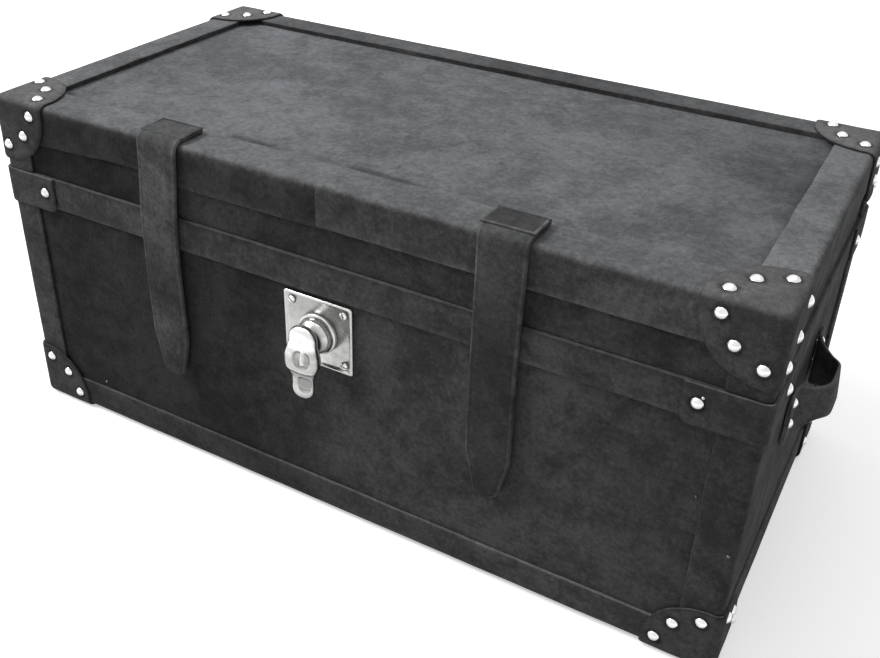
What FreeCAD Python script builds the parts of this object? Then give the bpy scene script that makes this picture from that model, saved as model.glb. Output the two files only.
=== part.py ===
import FreeCAD, Part
import os
import re
import Sketcher

# A low travelling trunk: a wooden box with a hinged lid, covered in leather. Leather bindings run along its
# edges, riveted caps close its corners, two straps hang over the front, and a lever lock holds the lid.
# X runs from left to right, Y from front to back and Z up. The origin is on the floor, under the middle of
# the wooden box. All sizes are in millimetres and degrees.

Vector = FreeCAD.Vector
Rotation = FreeCAD.Rotation
Placement = FreeCAD.Placement

SIZES = {
    # Wooden box: boards of one thickness, butted at the corners
    "carcass_length": 786,
    "carcass_depth": 389,
    "body_height": 280,
    "lid_height": 69,
    "board": 10,
    "parting_gap": 0.5,
    # Leather and felt, by thickness
    "skin": 1.5,
    "binding": 3,
    "cap": 2.5,
    "felt": 1.5,
    "edge_round": 7,
    # Bindings: the lid's stand above its top, the others lie flat on the sides
    "lid_binding_rise": 6,
    "lid_front_width": 44,
    "lid_back_width": 36,
    "lid_side_width": 38,
    "lid_skirt": 41.5,
    "corner_width": 36,
    "rim_height": 34,
    "base_height": 35,
    "base_width": 36,
    # Corner caps and patches
    "cap_reach": 68,
    "cap_lobe_round": 56,
    "patch_width": 69,
    "patch_height": 38,
    "patch_round": 10,
    # Dome rivets and their places, from the edges of the lid's caps, the base caps and the patches
    "rivet_radius": 5.2,
    "rivet_dome": 3,
    "rivet_shank": 1.5,
    "rivet_length": 12,
    "rivet_near": 14.5,
    "rivet_middle": 38,
    "rivet_far": 51.5,
    "base_rivet_near": 18.5,
    "base_rivet_middle": 42,
    "base_rivet_far": 55.5,
    "patch_rivet_in": 56,
    "patch_rivet_down": 17,
    # Pan-head screws of the lock, keeper and hinges
    "screw_radius": 4,
    "screw_head": 1.6,
    "screw_shank": 1.6,
    "screw_length": 12,
    "shank_fit": 0.05,
    "hole_spare": 0.3,
    # End handles: leather bands riveted at both ends, bowed outwards between them
    "handle_span": 140,
    "handle_tab": 26,
    "handle_crown": 40,
    "handle_rise": 31,
    "handle_band": 4,
    "handle_width": 35,
    "handle_end_width": 54,
    "handle_end_round": 8,
    "handle_up": 190,
    "handle_bend": 9,
    "handle_rivet_pitch": 22,
    # Straps: the lock and both straps sit a little left of the middle
    "hardware_shift": -7,
    "strap_spacing": 362,
    "strap_width": 45,
    "strap": 5,
    "strap_gap": 0.4,
    "strap_start": 36,
    "strap_drop": 220,
    "strap_taper": 46,
    "strap_tip_width": 24,
    "strap_tip_round": 9,
    # Lock: plate, boss and turning lever in front of the board, hook cam behind it
    "lock_below_rim": 4.5,
    "plate_width": 75,
    "plate_height": 73,
    "plate": 2,
    "plate_round": 3,
    "plate_screw_in": 9,
    "boss_radius": 21,
    "boss_rim": 4,
    "neck_radius": 17.5,
    "neck_length": 12,
    "tube_radius": 8,
    "tube_proud": 7.5,
    "spindle_radius": 5,
    "running_fit": 0.06,
    "turning_gap": 0.3,
    "nut_radius": 14,
    "nut": 4.5,
    "knob_radius": 15.5,
    "knob_depth": 18,
    "knob_round": 8,
    "knob_up": 4.5,
    "head_width": 36,
    "head_straight": 13,
    "head_reach": 34,
    "head_set_back": 2,
    "head_round": 4,
    "spindle_in_knob": 12,
    "tongue_width": 24,
    "tongue": 9,
    "tongue_reach": 57,
    "tongue_set_back": 4,
    "cam": 4,
    "cam_hub": 11,
    "cam_arm": 12,
    "cam_arm_angle": 20,
    "hook_radius": 60,
    "hook_width": 8,
    "hook_lead": 12,
    "hook_trail": 26,
    "cam_screw_head": 3,
    "cam_screw_radius": 8,
    "cam_screw_shank": 2.4,
    "cam_screw_length": 12,
    # Keeper on the lid: pad, tongue and the peg that the hook passes over
    "keeper_width": 26,
    "keeper_pad": 5,
    "keeper_pad_height": 38,
    "keeper_tongue": 2.5,
    "keeper_below_peg": 8,
    "peg_radius": 4,
    "peg_length": 7,
    "peg_above_lock": 55,
    # Hinges: outside leaves, three knuckles each, a heel that stops the lid
    "hinge_spacing": 250,
    "hinge_width": 60,
    "leaf_height": 32,
    "leaf": 2,
    "knuckle_radius": 4,
    "knuckle_middle": 22,
    "knuckle_gap": 0.4,
    "knuckle_clear": 1,
    "pin_radius": 2,
    "pin_fit": 0.05,
    "hinge_standoff": 0.2,
    "hinge_screw_reach": 20,
    "heel_length": 9.5,
    "heel": 4,
    "stop_gap": 0.1,
    "lid_opening": 100,
}

# Planes and points that several pieces share, worked out from the sizes
PLACES = {
    "wall_x": "carcass_length / 2",
    "wall_y": "carcass_depth / 2",
    "inner_x": "wall_x - board",
    "inner_y": "wall_y - board",
    "felt_x": "inner_x - felt",
    "felt_y": "inner_y - felt",
    "skin_x": "wall_x + skin",
    "skin_y": "wall_y + skin",
    "bind_x": "skin_x + binding",
    "bind_y": "skin_y + binding",
    "cap_x": "bind_x + cap",
    "cap_y": "bind_y + cap",
    "base_low": "cap",
    "body_low": "base_low + binding",
    "floor_top": "body_low + board",
    "body_top": "body_low + body_height",
    "rim_top": "body_top + binding",
    "lid_low": "rim_top + parting_gap",
    "lid_boards_top": "lid_low + lid_height",
    "lid_ceiling": "lid_boards_top - board",
    "lid_skin_top": "lid_boards_top + skin",
    "lid_top": "lid_skin_top + lid_binding_rise",
    "lid_cap_top": "lid_top + cap",
    "skirt_low": "lid_top - lid_skirt",
    "rim_low": "rim_top - rim_height",
    "base_top": "base_low + base_height",
    "cap_depth": "cap + edge_round",
    "dome_radius": "(rivet_radius ^ 2 + rivet_dome ^ 2) / (2 * rivet_dome)",
    "tail": "strap - strap_gap",
    "tail_top": "skirt_low + tail / 2",
    "lock_up": "rim_low - lock_below_rim - plate_height / 2",
    "lock_front": "plate + boss_rim + neck_length",
    "knob_back": "lock_front + turning_gap",
    "knob_front": "knob_back + knob_depth",
    "tube_end": "-(skin + board + tube_proud)",
    "cam_front": "tube_end - turning_gap",
    "cam_back": "cam_front - cam",
    "peg_up": "lock_up + peg_above_lock",
    "keeper_face": "-(felt_y - keeper_pad)",
    "keeper_low": "peg_up - keeper_below_peg",
    "hinge_y": "bind_y + hinge_standoff + knuckle_radius",
    "hinge_z": "rim_top + parting_gap / 2",
    "leaf_clear": "knuckle_radius + knuckle_clear",
    "heel_face": "leaf + stop_gap - hinge_standoff - knuckle_radius",
    "slope_shift": "handle_band * tan(atan2(handle_rise - handle_band; slope_run) / 2)",
    "slope_run": "handle_span / 2 - handle_tab - handle_crown / 2",
}

doc = FreeCAD.newDocument("leather_trunk")


def formula(text):
    """A formula in plain names, with each name pointed at its sheet."""
    def place(match):
        name = match.group()
        if name in SIZES:
            return "Sizes." + name
        return "Places." + name if name in PLACES else name
    return re.sub(r"[a-z]\w*", place, text)


def fill(name, cells):
    """A spreadsheet with one named cell for each entry."""
    sheet = doc.addObject("Spreadsheet::Sheet", name)
    for row, (alias, text) in enumerate(cells, 1):
        sheet.set(f"A{row}", alias)
        sheet.set(f"B{row}", text)
        sheet.setAlias(f"B{row}", alias)
    return sheet


sizes = fill("Sizes", [(alias, str(value)) for alias, value in SIZES.items()])
places = fill("Places", [(alias, "=" + formula(text)) for alias, text in PLACES.items()])
doc.recompute()


def number(text):
    """The value of a formula, for what can't be bound to a cell."""
    value = sizes.evalExpression(formula(text))
    return float(getattr(value, "Value", value))


def point(x, y, z):
    return Vector(number(x), number(y), number(z))


def bind(thing, **formulas):
    """Ties a thing's sizes to the sheets."""
    for prop, text in formulas.items():
        thing.setExpression(prop, formula(text))
    return thing


def stand(thing, x, y, z):
    """Ties a thing's place to the sheets."""
    for prop, text in zip("xyz", (x, y, z)):
        thing.setExpression("Placement.Base." + prop, formula(text))
    return thing


# Building blocks

def block(name, x, y, z):
    """A box between two formulas along each axis."""
    box = doc.addObject("Part::Box", name)
    bind(box, Length=f"{x[1]} - ({x[0]})", Width=f"{y[1]} - ({y[0]})", Height=f"{z[1]} - ({z[0]})")
    return stand(box, x[0], y[0], z[0])


def rod(name, radius, length, along="z", at=("0", "0", "0")):
    """A round bar that starts at a point and runs along +X, +Z or, for the lock's pieces, -Y."""
    bar = doc.addObject("Part::Cylinder", name)
    turns = {"z": Rotation(), "x": Rotation(Vector(0, 1, 0), 90), "-y": Rotation(Vector(1, 0, 0), 90)}
    bar.Placement = Placement(Vector(), turns[along])
    bind(bar, Radius=radius, Height=length)
    return stand(bar, *at)


def fuse(name, *pieces):
    whole = doc.addObject("Part::MultiFuse", name)
    whole.Shapes = list(pieces)
    whole.Refine = True
    return whole


def common(name, *pieces):
    shared = doc.addObject("Part::MultiCommon", name)
    shared.Shapes = list(pieces)
    return shared


def cut(name, base, *tools):
    rest = base
    for tool in tools:
        trimmed = doc.addObject("Part::Cut", name)
        trimmed.Base = rest
        trimmed.Tool = tool
        rest = trimmed
    return rest


def mirrored(name, source, normal):
    twin = doc.addObject("Part::Mirroring", name)
    twin.Source = source
    twin.Normal = normal
    return twin


def group(name, *pieces):
    together = doc.addObject("Part::Compound", name)
    together.Links = list(pieces)
    return together


SIDE = Vector(1, 0, 0)
DEPTH = Vector(0, 1, 0)


def four_ways(name, front_right):
    """The front right corner's piece and its three mirror images."""
    front_left = mirrored(name + "_front_left", front_right, SIDE)
    back_right = mirrored(name + "_back_right", front_right, DEPTH)
    back_left = mirrored(name + "_back_left", front_left, DEPTH)
    return {"front_right": front_right, "front_left": front_left,
            "back_right": back_right, "back_left": back_left}


def edges_where(thing, test):
    """The numbers of a thing's edges whose middle and direction pass a test."""
    found = []
    for count, edge in enumerate(thing.Shape.Edges, 1):
        run = edge.Vertexes[-1].Point - edge.Vertexes[0].Point
        if test(edge.CenterOfMass, run):
            found.append(count)
    return found


def rounded(name, base, radius, test):
    """Rounds the edges of a thing that pass a test."""
    doc.recompute()
    soft = doc.addObject("Part::Fillet", name)
    soft.Base = base
    soft.Edges = [(count, number(radius), number(radius)) for count in edges_where(base, test)]
    return soft


def outline(body, plane, corners):
    """A closed sketch of straight lines through corners given as formulas."""
    sketch = body.newObject("Sketcher::SketchObject", body.Name + "_outline")
    origin_plane = [item for item in body.Origin.OriginFeatures if item.Role == plane][0]
    sketch.AttachmentSupport = [(origin_plane, "")]
    sketch.MapMode = "FlatFace"
    spots = [Vector(number(across), number(up), 0) for across, up in corners]
    count = len(corners)
    for index in range(count):
        sketch.addGeometry(Part.LineSegment(spots[index], spots[(index + 1) % count]))
    for index in range(count):
        sketch.addConstraint(Sketcher.Constraint("Coincident", index, 2, (index + 1) % count, 1))
    for index, (across, up) in enumerate(corners):
        tie = sketch.addConstraint(Sketcher.Constraint("DistanceX", index, 1, spots[index].x))
        sketch.setExpression(f"Constraints[{tie}]", formula(across))
        tie = sketch.addConstraint(Sketcher.Constraint("DistanceY", index, 1, spots[index].y))
        sketch.setExpression(f"Constraints[{tie}]", formula(up))
    return sketch


def padded(name, plane, corners, length):
    """A body padded from an outline."""
    body = doc.addObject("PartDesign::Body", name)
    pad = body.newObject("PartDesign::Pad", name + "_pad")
    pad.Profile = outline(body, plane, corners)
    bind(pad, Length=length)
    doc.recompute()
    return body


def softened(body, radius, test):
    """Rounds edges of a body's last feature that pass a test."""
    doc.recompute()
    last = body.Tip
    fillet = body.newObject("PartDesign::Fillet", body.Name + "_fillet")
    fillet.Base = (last, [f"Edge{count}" for count in edges_where(last, test)])
    bind(fillet, Radius=radius)
    return body


def turned(name, corners):
    """A body turned about its Z axis from an outline of radius and height."""
    body = doc.addObject("PartDesign::Body", name)
    spin = body.newObject("PartDesign::Revolution", name + "_turning")
    sketch = outline(body, "XZ_Plane", corners)
    spin.Profile = sketch
    spin.ReferenceAxis = (sketch, ["V_Axis"])
    spin.Angle = 360
    return body


def near(value, text):
    return abs(value - number(text)) < 0.01


nodes = []


def node(name, thing):
    """Names a finished sub-part and keeps it for writing."""
    thing.Label = name
    nodes.append(thing)
    return thing


# Rivets and screws. Each has its head at the origin, standing up along Z, and its shank below.

dome = doc.addObject("Part::Sphere", "rivet_dome_blank")
bind(dome, Radius="dome_radius", Angle1="asin(1 - rivet_dome / dome_radius)")
stand(dome, "0", "0", "rivet_dome - dome_radius")
rivet = fuse("rivet_blank", dome, rod("rivet_shank_blank", "rivet_shank", "rivet_length",
                                      at=("0", "0", "-rivet_length")))
rivet_hole = rod("rivet_hole_blank", "rivet_shank + shank_fit", "rivet_length + hole_spare + cap",
                 at=("0", "0", "-rivet_length - hole_spare"))
screw_head = rounded("screw_head_blank", rod("screw_disc_blank", "screw_radius", "screw_head"),
                     "screw_head / 2", lambda middle, run: near(middle.z, "screw_head"))
screw = fuse("screw_blank", screw_head, rod("screw_shank_blank", "screw_shank", "screw_length",
                                            at=("0", "0", "-screw_length")))
screw_hole = rod("screw_hole_blank", "screw_shank + shank_fit", "screw_length + hole_spare + leaf",
                 at=("0", "0", "-screw_length - hole_spare"))
doc.recompute()


def driven(name, pattern, spots):
    """One separate solid for each spot, standing out along its direction."""
    copies = []
    for spot, outward in spots:
        copy = pattern.Shape.copy()
        copy.Placement = Placement(spot, Rotation(Vector(0, 0, 1), outward)).multiply(copy.Placement)
        copies.append(copy)
    feature = doc.addObject("Part::Feature", name)
    feature.Shape = Part.Compound(copies)
    return feature


def at_corners(spots):
    """Spots of the front right corner, repeated at all four corners."""
    everywhere = []
    for spot, outward in spots:
        for across in (1, -1):
            for along in (1, -1):
                flip = Vector(across, along, 1)
                everywhere.append((Vector(*[a * b for a, b in zip(spot, flip)]),
                                   Vector(*[a * b for a, b in zip(outward, flip)])))
    return everywhere


UP, DOWN = Vector(0, 0, 1), Vector(0, 0, -1)
RIGHT, LEFT = Vector(1, 0, 0), Vector(-1, 0, 0)
FRONT, BACK = Vector(0, -1, 0), Vector(0, 1, 0)

LID_LOBE = [("rivet_far", "rivet_near"), ("rivet_middle", "rivet_middle"), ("rivet_near", "rivet_far")]
BASE_LOBE = [("base_rivet_far", "base_rivet_near"), ("base_rivet_middle", "base_rivet_middle"),
             ("base_rivet_near", "base_rivet_far")]
lid_spots = []
base_spots = []
for along, across in LID_LOBE:
    lid_spots.append((point(f"cap_x - {along}", f"{across} - cap_y", "lid_cap_top"), UP))
    lid_spots.append((point(f"cap_x - {along}", "-cap_y", f"lid_cap_top - {across}"), FRONT))
    lid_spots.append((point("cap_x", f"{along} - cap_y", f"lid_cap_top - {across}"), RIGHT))
for along, across in BASE_LOBE:
    base_spots.append((point(f"cap_x - {along}", "-cap_y", across), FRONT))
    base_spots.append((point("cap_x", f"{along} - cap_y", across), RIGHT))
patch_spots = [
    (point("cap_x - patch_rivet_in", "-cap_y", "rim_top - patch_rivet_down"), FRONT),
    (point("cap_x", "patch_rivet_in - cap_y", "rim_top - patch_rivet_down"), RIGHT),
]
handle_spots = []
for side, outward in ((1, RIGHT), (-1, LEFT)):
    for end in (1, -1):
        for up in (1, -1):
            spot = point("skin_x + handle_band", "handle_span / 2 - handle_tab / 2",
                         f"handle_up + {up} * handle_rivet_pitch / 2")
            handle_spots.append((Vector(side * spot.x, end * spot.y, spot.z), outward))
lock_x = "hardware_shift"
lock_screw_spots = []
keeper_screw_spots = []
for end in (1, -1):
    up = f"lid_low + keeper_pad_height / 2 + {end} * keeper_pad_height / 4"
    keeper_screw_spots.append((point(lock_x, "keeper_face", up), BACK))
    for up in (1, -1):
        lock_screw_spots.append((point(f"{lock_x} + {end} * (plate_width / 2 - plate_screw_in)",
                                       "-skin_y - plate",
                                       f"lock_up + {up} * (plate_height / 2 - plate_screw_in)"), FRONT))
hinge_places = ["-hinge_spacing", "0", "hinge_spacing"]
body_leaf_spots = []
lid_leaf_spots = []
for place in hinge_places:
    for step in (-1, 0, 1):
        across = f"{place} + {step} * hinge_width / 3"
        body_leaf_spots.append((point(across, "bind_y + leaf", "hinge_z - hinge_screw_reach"), BACK))
        lid_leaf_spots.append((point(across, "skin_y + leaf", "hinge_z + hinge_screw_reach"), BACK))

lid_holes = driven("lid_rivet_holes", rivet_hole, at_corners(lid_spots))
lid_corner_holes = driven("lid_corner_holes", rivet_hole, lid_spots)
base_holes = driven("base_rivet_holes", rivet_hole, at_corners(base_spots))
base_corner_holes = driven("base_corner_holes", rivet_hole, base_spots)
patch_holes = driven("patch_rivet_holes", rivet_hole, at_corners(patch_spots))
handle_holes = driven("handle_rivet_holes", rivet_hole, handle_spots)
lock_screw_holes = driven("lock_screw_holes", screw_hole, lock_screw_spots)
keeper_holes = driven("keeper_screw_holes", screw_hole, keeper_screw_spots)
body_leaf_holes = driven("body_leaf_holes", screw_hole, body_leaf_spots)
lid_leaf_holes = driven("lid_leaf_holes", screw_hole, lid_leaf_spots)
tube_hole = rod("tube_hole", "tube_radius + shank_fit", "plate + skin + board + felt", "-y",
                (lock_x, "-felt_y", "lock_up"))

# Wooden boards of the body: front and back run full length, the ends and the bottom stand between them

WHOLE_X = ("-wall_x", "wall_x")
BETWEEN_X = ("-inner_x", "inner_x")
BETWEEN_Y = ("-inner_y", "inner_y")
FRONT_WALL = ("-wall_y", "-inner_y")
BACK_WALL = ("inner_y", "wall_y")
RIGHT_WALL = ("inner_x", "wall_x")
LEFT_WALL = ("-wall_x", "-inner_x")
BODY_Z = ("body_low", "body_top")
LID_Z = ("lid_low", "lid_boards_top")

body_front = block("body_front_blank", WHOLE_X, FRONT_WALL, BODY_Z)
body_back = block("body_back_blank", WHOLE_X, BACK_WALL, BODY_Z)
body_left = block("body_left_blank", LEFT_WALL, BETWEEN_Y, BODY_Z)
body_right = block("body_right_blank", RIGHT_WALL, BETWEEN_Y, BODY_Z)
body_holes = group("body_holes", base_holes, patch_holes)
node("body_front_board", cut("body_front_drilled", body_front, body_holes, lock_screw_holes, tube_hole))
node("body_back_board", cut("body_back_drilled", body_back, body_holes, body_leaf_holes))
node("body_left_board", cut("body_left_drilled", body_left, body_holes, handle_holes))
node("body_right_board", cut("body_right_drilled", body_right, body_holes, handle_holes))
node("body_bottom_board", block("body_bottom", BETWEEN_X, BETWEEN_Y, ("body_low", "floor_top")))

# Wooden boards of the lid: four rails with the top board let in between them

lid_front = block("lid_front_blank", WHOLE_X, FRONT_WALL, LID_Z)
lid_back = block("lid_back_blank", WHOLE_X, BACK_WALL, LID_Z)
lid_left = block("lid_left_blank", LEFT_WALL, BETWEEN_Y, LID_Z)
lid_right = block("lid_right_blank", RIGHT_WALL, BETWEEN_Y, LID_Z)
lid_panel = block("lid_panel_blank", BETWEEN_X, BETWEEN_Y, ("lid_ceiling", "lid_boards_top"))
node("lid_front_board", cut("lid_front_drilled", lid_front, lid_holes, keeper_holes))
node("lid_back_board", cut("lid_back_drilled", lid_back, lid_holes, lid_leaf_holes))
node("lid_left_board", cut("lid_left_drilled", lid_left, lid_holes))
node("lid_right_board", cut("lid_right_drilled", lid_right, lid_holes))
node("lid_top_board", cut("lid_top_drilled", lid_panel, lid_holes))

# Cover leather: one band glued round the body, one round the lid, and one sheet on the lid's top


def band(name, z):
    outer = block(name + "_outer", ("-skin_x", "skin_x"), ("-skin_y", "skin_y"), z)
    return cut(name, outer, block(name + "_inner", WHOLE_X, ("-wall_y", "wall_y"), z))


node("body_leather", cut("body_leather_drilled", band("body_band", BODY_Z), body_holes, handle_holes,
                         lock_screw_holes, tube_hole, body_leaf_holes))
node("lid_side_leather", cut("lid_leather_drilled", band("lid_band", ("lid_low", "lid_skin_top")),
                             lid_holes, lid_leaf_holes))
lid_sheet = block("lid_sheet_blank", WHOLE_X, ("-wall_y", "wall_y"), ("lid_boards_top", "lid_skin_top"))
node("lid_top_leather", cut("lid_sheet_drilled", lid_sheet, lid_holes))

# Felt lining: a tray inside the body and one inside the lid

body_felt = cut("body_felt_tray", block("body_felt_outer", BETWEEN_X, BETWEEN_Y, ("floor_top", "body_top")),
                block("body_felt_room", ("-felt_x", "felt_x"), ("-felt_y", "felt_y"),
                      ("floor_top + felt", "body_top")))
nut_room = rod("nut_room", "nut_radius + turning_gap", "felt", "-y", (lock_x, "-felt_y", "lock_up"))
node("body_lining", cut("body_felt_drilled", body_felt, nut_room))
lid_felt = cut("lid_felt_tray", block("lid_felt_outer", BETWEEN_X, BETWEEN_Y, ("lid_low", "lid_ceiling")),
               block("lid_felt_room", ("-felt_x", "felt_x"), ("-felt_y", "felt_y"),
                     ("lid_low", "lid_ceiling - felt")))
node("lid_lining", cut("lid_felt_drilled", lid_felt, keeper_holes))

# The bindings' and the caps' outer forms, with the trunk's edges rounded


def envelope(name, x, y, z, radius, keep_sharp):
    form = block(name + "_blank", (f"-{x}", x), (f"-{y}", y), z)
    return rounded(name, form, radius, lambda middle, run: not near(middle.z, keep_sharp))


lid_form = envelope("lid_form", "bind_x", "bind_y", ("lid_low", "lid_top"), "edge_round", "lid_low")
body_form = envelope("body_form", "bind_x", "bind_y", ("base_low", "rim_top"), "edge_round", "rim_top")
lid_cap_form = envelope("lid_cap_form", "cap_x", "cap_y", ("lid_low", "lid_cap_top"), "cap_depth", "lid_low")
body_cap_form = envelope("body_cap_form", "cap_x", "cap_y", ("0", "rim_top"), "cap_depth", "rim_top")
lid_cap_shell = cut("lid_cap_shell", lid_cap_form, lid_form)
body_cap_shell = cut("body_cap_shell", body_cap_form, body_form)

# Edge bindings of the lid: leather angles over its top edges, the front and back ones full length

BIND_X = ("-bind_x", "bind_x")
FRONT_BIND = ("-bind_y", "-skin_y")
RIGHT_BIND = ("skin_x", "bind_x")


def full_length_binding(name, width):
    flat = block(name + "_flat", BIND_X, ("-bind_y", f"{width} - bind_y"), ("lid_skin_top", "lid_top"))
    skirt = block(name + "_skirt", BIND_X, FRONT_BIND, ("skirt_low", "lid_top"))
    return common(name, fuse(name + "_angle", flat, skirt), lid_form)


lid_front_angle = full_length_binding("lid_front_angle", "lid_front_width")
lid_back_angle = mirrored("lid_back_angle", full_length_binding("lid_back_twin", "lid_back_width"), DEPTH)
side_flat = block("lid_side_flat", ("bind_x - lid_side_width", "bind_x"), ("-bind_y", "bind_y"),
                  ("lid_skin_top", "lid_top"))
side_skirt = block("lid_side_skirt", RIGHT_BIND, ("-bind_y", "bind_y"), ("skirt_low", "lid_top"))
side_form = common("lid_side_form", fuse("lid_side_angle", side_flat, side_skirt), lid_form)
lid_right_angle = cut("lid_right_angle", side_form, lid_front_angle, lid_back_angle, lid_holes)
lid_left_angle = mirrored("lid_left_angle", lid_right_angle, SIDE)
node("lid_front_binding", cut("lid_front_binding_drilled", lid_front_angle, lid_holes))
node("lid_back_binding", cut("lid_back_binding_drilled", lid_back_angle, lid_holes))
node("lid_right_binding", lid_right_angle)
node("lid_left_binding", lid_left_angle)


# Upright bindings at the corners of the body and of the lid, under the caps and patches

def corner_angle(name, z, form, holes):
    front = block(name + "_front", ("bind_x - corner_width", "bind_x"), FRONT_BIND, z)
    side = block(name + "_side", RIGHT_BIND, ("-bind_y", "corner_width - bind_y"), z)
    return cut(name + "_drilled", common(name, fuse(name + "_angle", front, side), form), holes)


body_corner = corner_angle("body_corner", ("base_top", "rim_low"), body_form, base_corner_holes)
node("body_corner_bindings", group("body_corners", *four_ways("body_corner", body_corner).values()))
lid_corner = corner_angle("lid_corner", ("lid_low", "skirt_low"), lid_form, lid_corner_holes)
node("lid_corner_bindings", group("lid_corners", *four_ways("lid_corner", lid_corner).values()))


# Rim bindings fold over the top of the body's boards, base bindings fold under its bottom

def ring_of_angles(name, upright, fold, reach_x, reach_y, holes):
    """Four angles round the body: full length at the front and back, fitted between them at the ends."""
    front_side = block(name + "_front_side", BIND_X, FRONT_BIND, upright)
    front_fold = block(name + "_front_fold", BIND_X, ("-bind_y", reach_y), fold)
    front = common(name + "_front", fuse(name + "_front_angle", front_side, front_fold), body_form)
    back = mirrored(name + "_back", front, DEPTH)
    end_side = block(name + "_end_side", RIGHT_BIND, ("-bind_y", "bind_y"), upright)
    end_fold = block(name + "_end_fold", (reach_x, "bind_x"), ("-bind_y", "bind_y"), fold)
    end = common(name + "_end", fuse(name + "_end_angle", end_side, end_fold), body_form)
    right = cut(name + "_right", end, front, back, holes)
    left = mirrored(name + "_left", right, SIDE)
    return {"front": cut(name + "_front_drilled", front, holes),
            "back": cut(name + "_back_drilled", back, holes), "right": right, "left": left}


rim = ring_of_angles("rim", ("rim_low", "rim_top"), ("body_top", "rim_top"), "felt_x", "-felt_y", patch_holes)
rim["back"] = cut("rim_back_hinged", rim["back"], body_leaf_holes)
for place, strip in rim.items():
    node(f"rim_{place}_binding", strip)
base = ring_of_angles("base", ("base_low", "base_top"), ("base_low", "body_low"),
                      "bind_x - base_width", "base_width - bind_y", base_holes)
node("base_bindings", group("base_strips", *base.values()))

# Corner caps: three rounded lobes of stiff leather, drawn over the corner and riveted

CAP_RIGHT = ("cap_x - cap_reach", "cap_x")
CAP_FRONT = ("-cap_y", "cap_reach - cap_y")
NEAR_RIGHT = ("cap_x - cap_depth", "cap_x")
NEAR_FRONT = ("-cap_y", "cap_depth - cap_y")


def lobe(name, x, y, z, radius, inner_corner):
    """A flat lobe with the corner that lies furthest in rounded."""
    def is_inner(middle, run):
        return all(near(value, text) for value, text in zip(middle, inner_corner) if text)
    return rounded(name, block(name + "_blank", x, y, z), radius, is_inner)


def corner_cap(name, reach_z, flat_z, inner_z, shell, holes):
    flat = lobe(name + "_flat", CAP_RIGHT, CAP_FRONT, flat_z, "cap_lobe_round",
                (CAP_RIGHT[0], CAP_FRONT[1], None))
    front = lobe(name + "_front", CAP_RIGHT, NEAR_FRONT, reach_z, "cap_lobe_round",
                 (CAP_RIGHT[0], None, inner_z))
    side = lobe(name + "_side", NEAR_RIGHT, CAP_FRONT, reach_z, "cap_lobe_round",
                (None, CAP_FRONT[1], inner_z))
    lobes = fuse(name + "_lobes", flat, front, side)
    return cut(name + "_drilled", common(name + "_form", lobes, shell), holes)


lid_cap = corner_cap("lid_cap", ("lid_cap_top - cap_reach", "lid_cap_top"),
                     ("lid_cap_top - cap_depth", "lid_cap_top"), "lid_cap_top - cap_reach",
                     lid_cap_shell, lid_corner_holes)
base_cap = corner_cap("base_cap", ("0", "cap_reach"), ("0", "cap_depth"), "cap_reach",
                      body_cap_shell, base_corner_holes)
for place, piece in four_ways("lid_cap", lid_cap).items():
    node(f"lid_cap_{place}", piece)
for place, piece in four_ways("base_cap", base_cap).items():
    node(f"base_cap_{place}", piece)
node("lid_cap_rivets", driven("lid_rivets", rivet, at_corners(lid_spots)))
node("base_cap_rivets", driven("base_rivets", rivet, at_corners(base_spots)))

# Rim corner patches: leather wrapped round the body's corners just under the lid

PATCH_Z = ("rim_top - patch_height", "rim_top")
patch_front = lobe("patch_front", ("cap_x - patch_width", "cap_x"), NEAR_FRONT, PATCH_Z, "patch_round",
                   ("cap_x - patch_width", None, PATCH_Z[0]))
patch_side = lobe("patch_side", NEAR_RIGHT, ("-cap_y", "patch_width - cap_y"), PATCH_Z, "patch_round",
                  (None, "patch_width - cap_y", PATCH_Z[0]))
patch = cut("patch_drilled", common("patch_form", fuse("patch_lobes", patch_front, patch_side),
                                    body_cap_shell), patch_holes)
node("rim_corner_patches", group("rim_patches", *four_ways("patch", patch).values()))
node("rim_patch_rivets", driven("patch_rivets", rivet, at_corners(patch_spots)))

# End handles: one leather band each, flat tabs on the end and a bowed grip between them

tab_end = "handle_span / 2"
tab_in = "handle_span / 2 - handle_tab"
crown = "handle_crown / 2"
half_outline = [
    ("skin_x", tab_end), ("skin_x + handle_band", tab_end), ("skin_x + handle_band", tab_in),
    ("skin_x + handle_rise", crown),
]
half_inside = [
    ("skin_x + handle_rise - handle_band", f"{crown} - slope_shift"), ("skin_x", f"{tab_in} - slope_shift"),
]
handle_outline = [(x, f"-({y})") for x, y in half_outline]
handle_outline += list(reversed(half_outline))
handle_outline += list(reversed(half_inside))
handle_outline += [(x, f"-({y})") for x, y in half_inside]
handle = padded("handle_band", "XY_Plane", handle_outline, "handle_width")


def at_bend(*bends):
    """Tests for upright edges at the handle's bends, on both sides of the middle."""
    def test(middle, run):
        return any(near(middle.x, x) and near(abs(middle.y), y) for x, y in bends)
    return test


softened(handle, "handle_bend", at_bend(half_outline[2], half_inside[0]))
softened(handle, "handle_bend + handle_band", at_bend(half_outline[3], half_inside[1]))
stand(handle, "0", "0", "handle_up - handle_width / 2")
doc.recompute()
handle_end_blank = block("handle_end_blank", ("skin_x", "skin_x + handle_band"), (tab_in, tab_end),
                         ("handle_up - handle_end_width / 2", "handle_up + handle_end_width / 2"))
handle_end = rounded("handle_end", handle_end_blank, "handle_end_round",
                     lambda middle, run: abs(run.x) > 1 and near(middle.y, tab_end))
whole_handle = fuse("whole_handle", handle, handle_end, mirrored("handle_front_end", handle_end, DEPTH))
right_handle = cut("right_handle_drilled", whole_handle, handle_holes)
node("right_handle", right_handle)
node("left_handle", mirrored("left_handle", right_handle, SIDE))
node("handle_rivets", driven("handle_rivets", rivet, handle_spots))

# Straps: the upper part is sewn to the lid's front binding, the tail hangs from the skirt's lower edge

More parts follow.
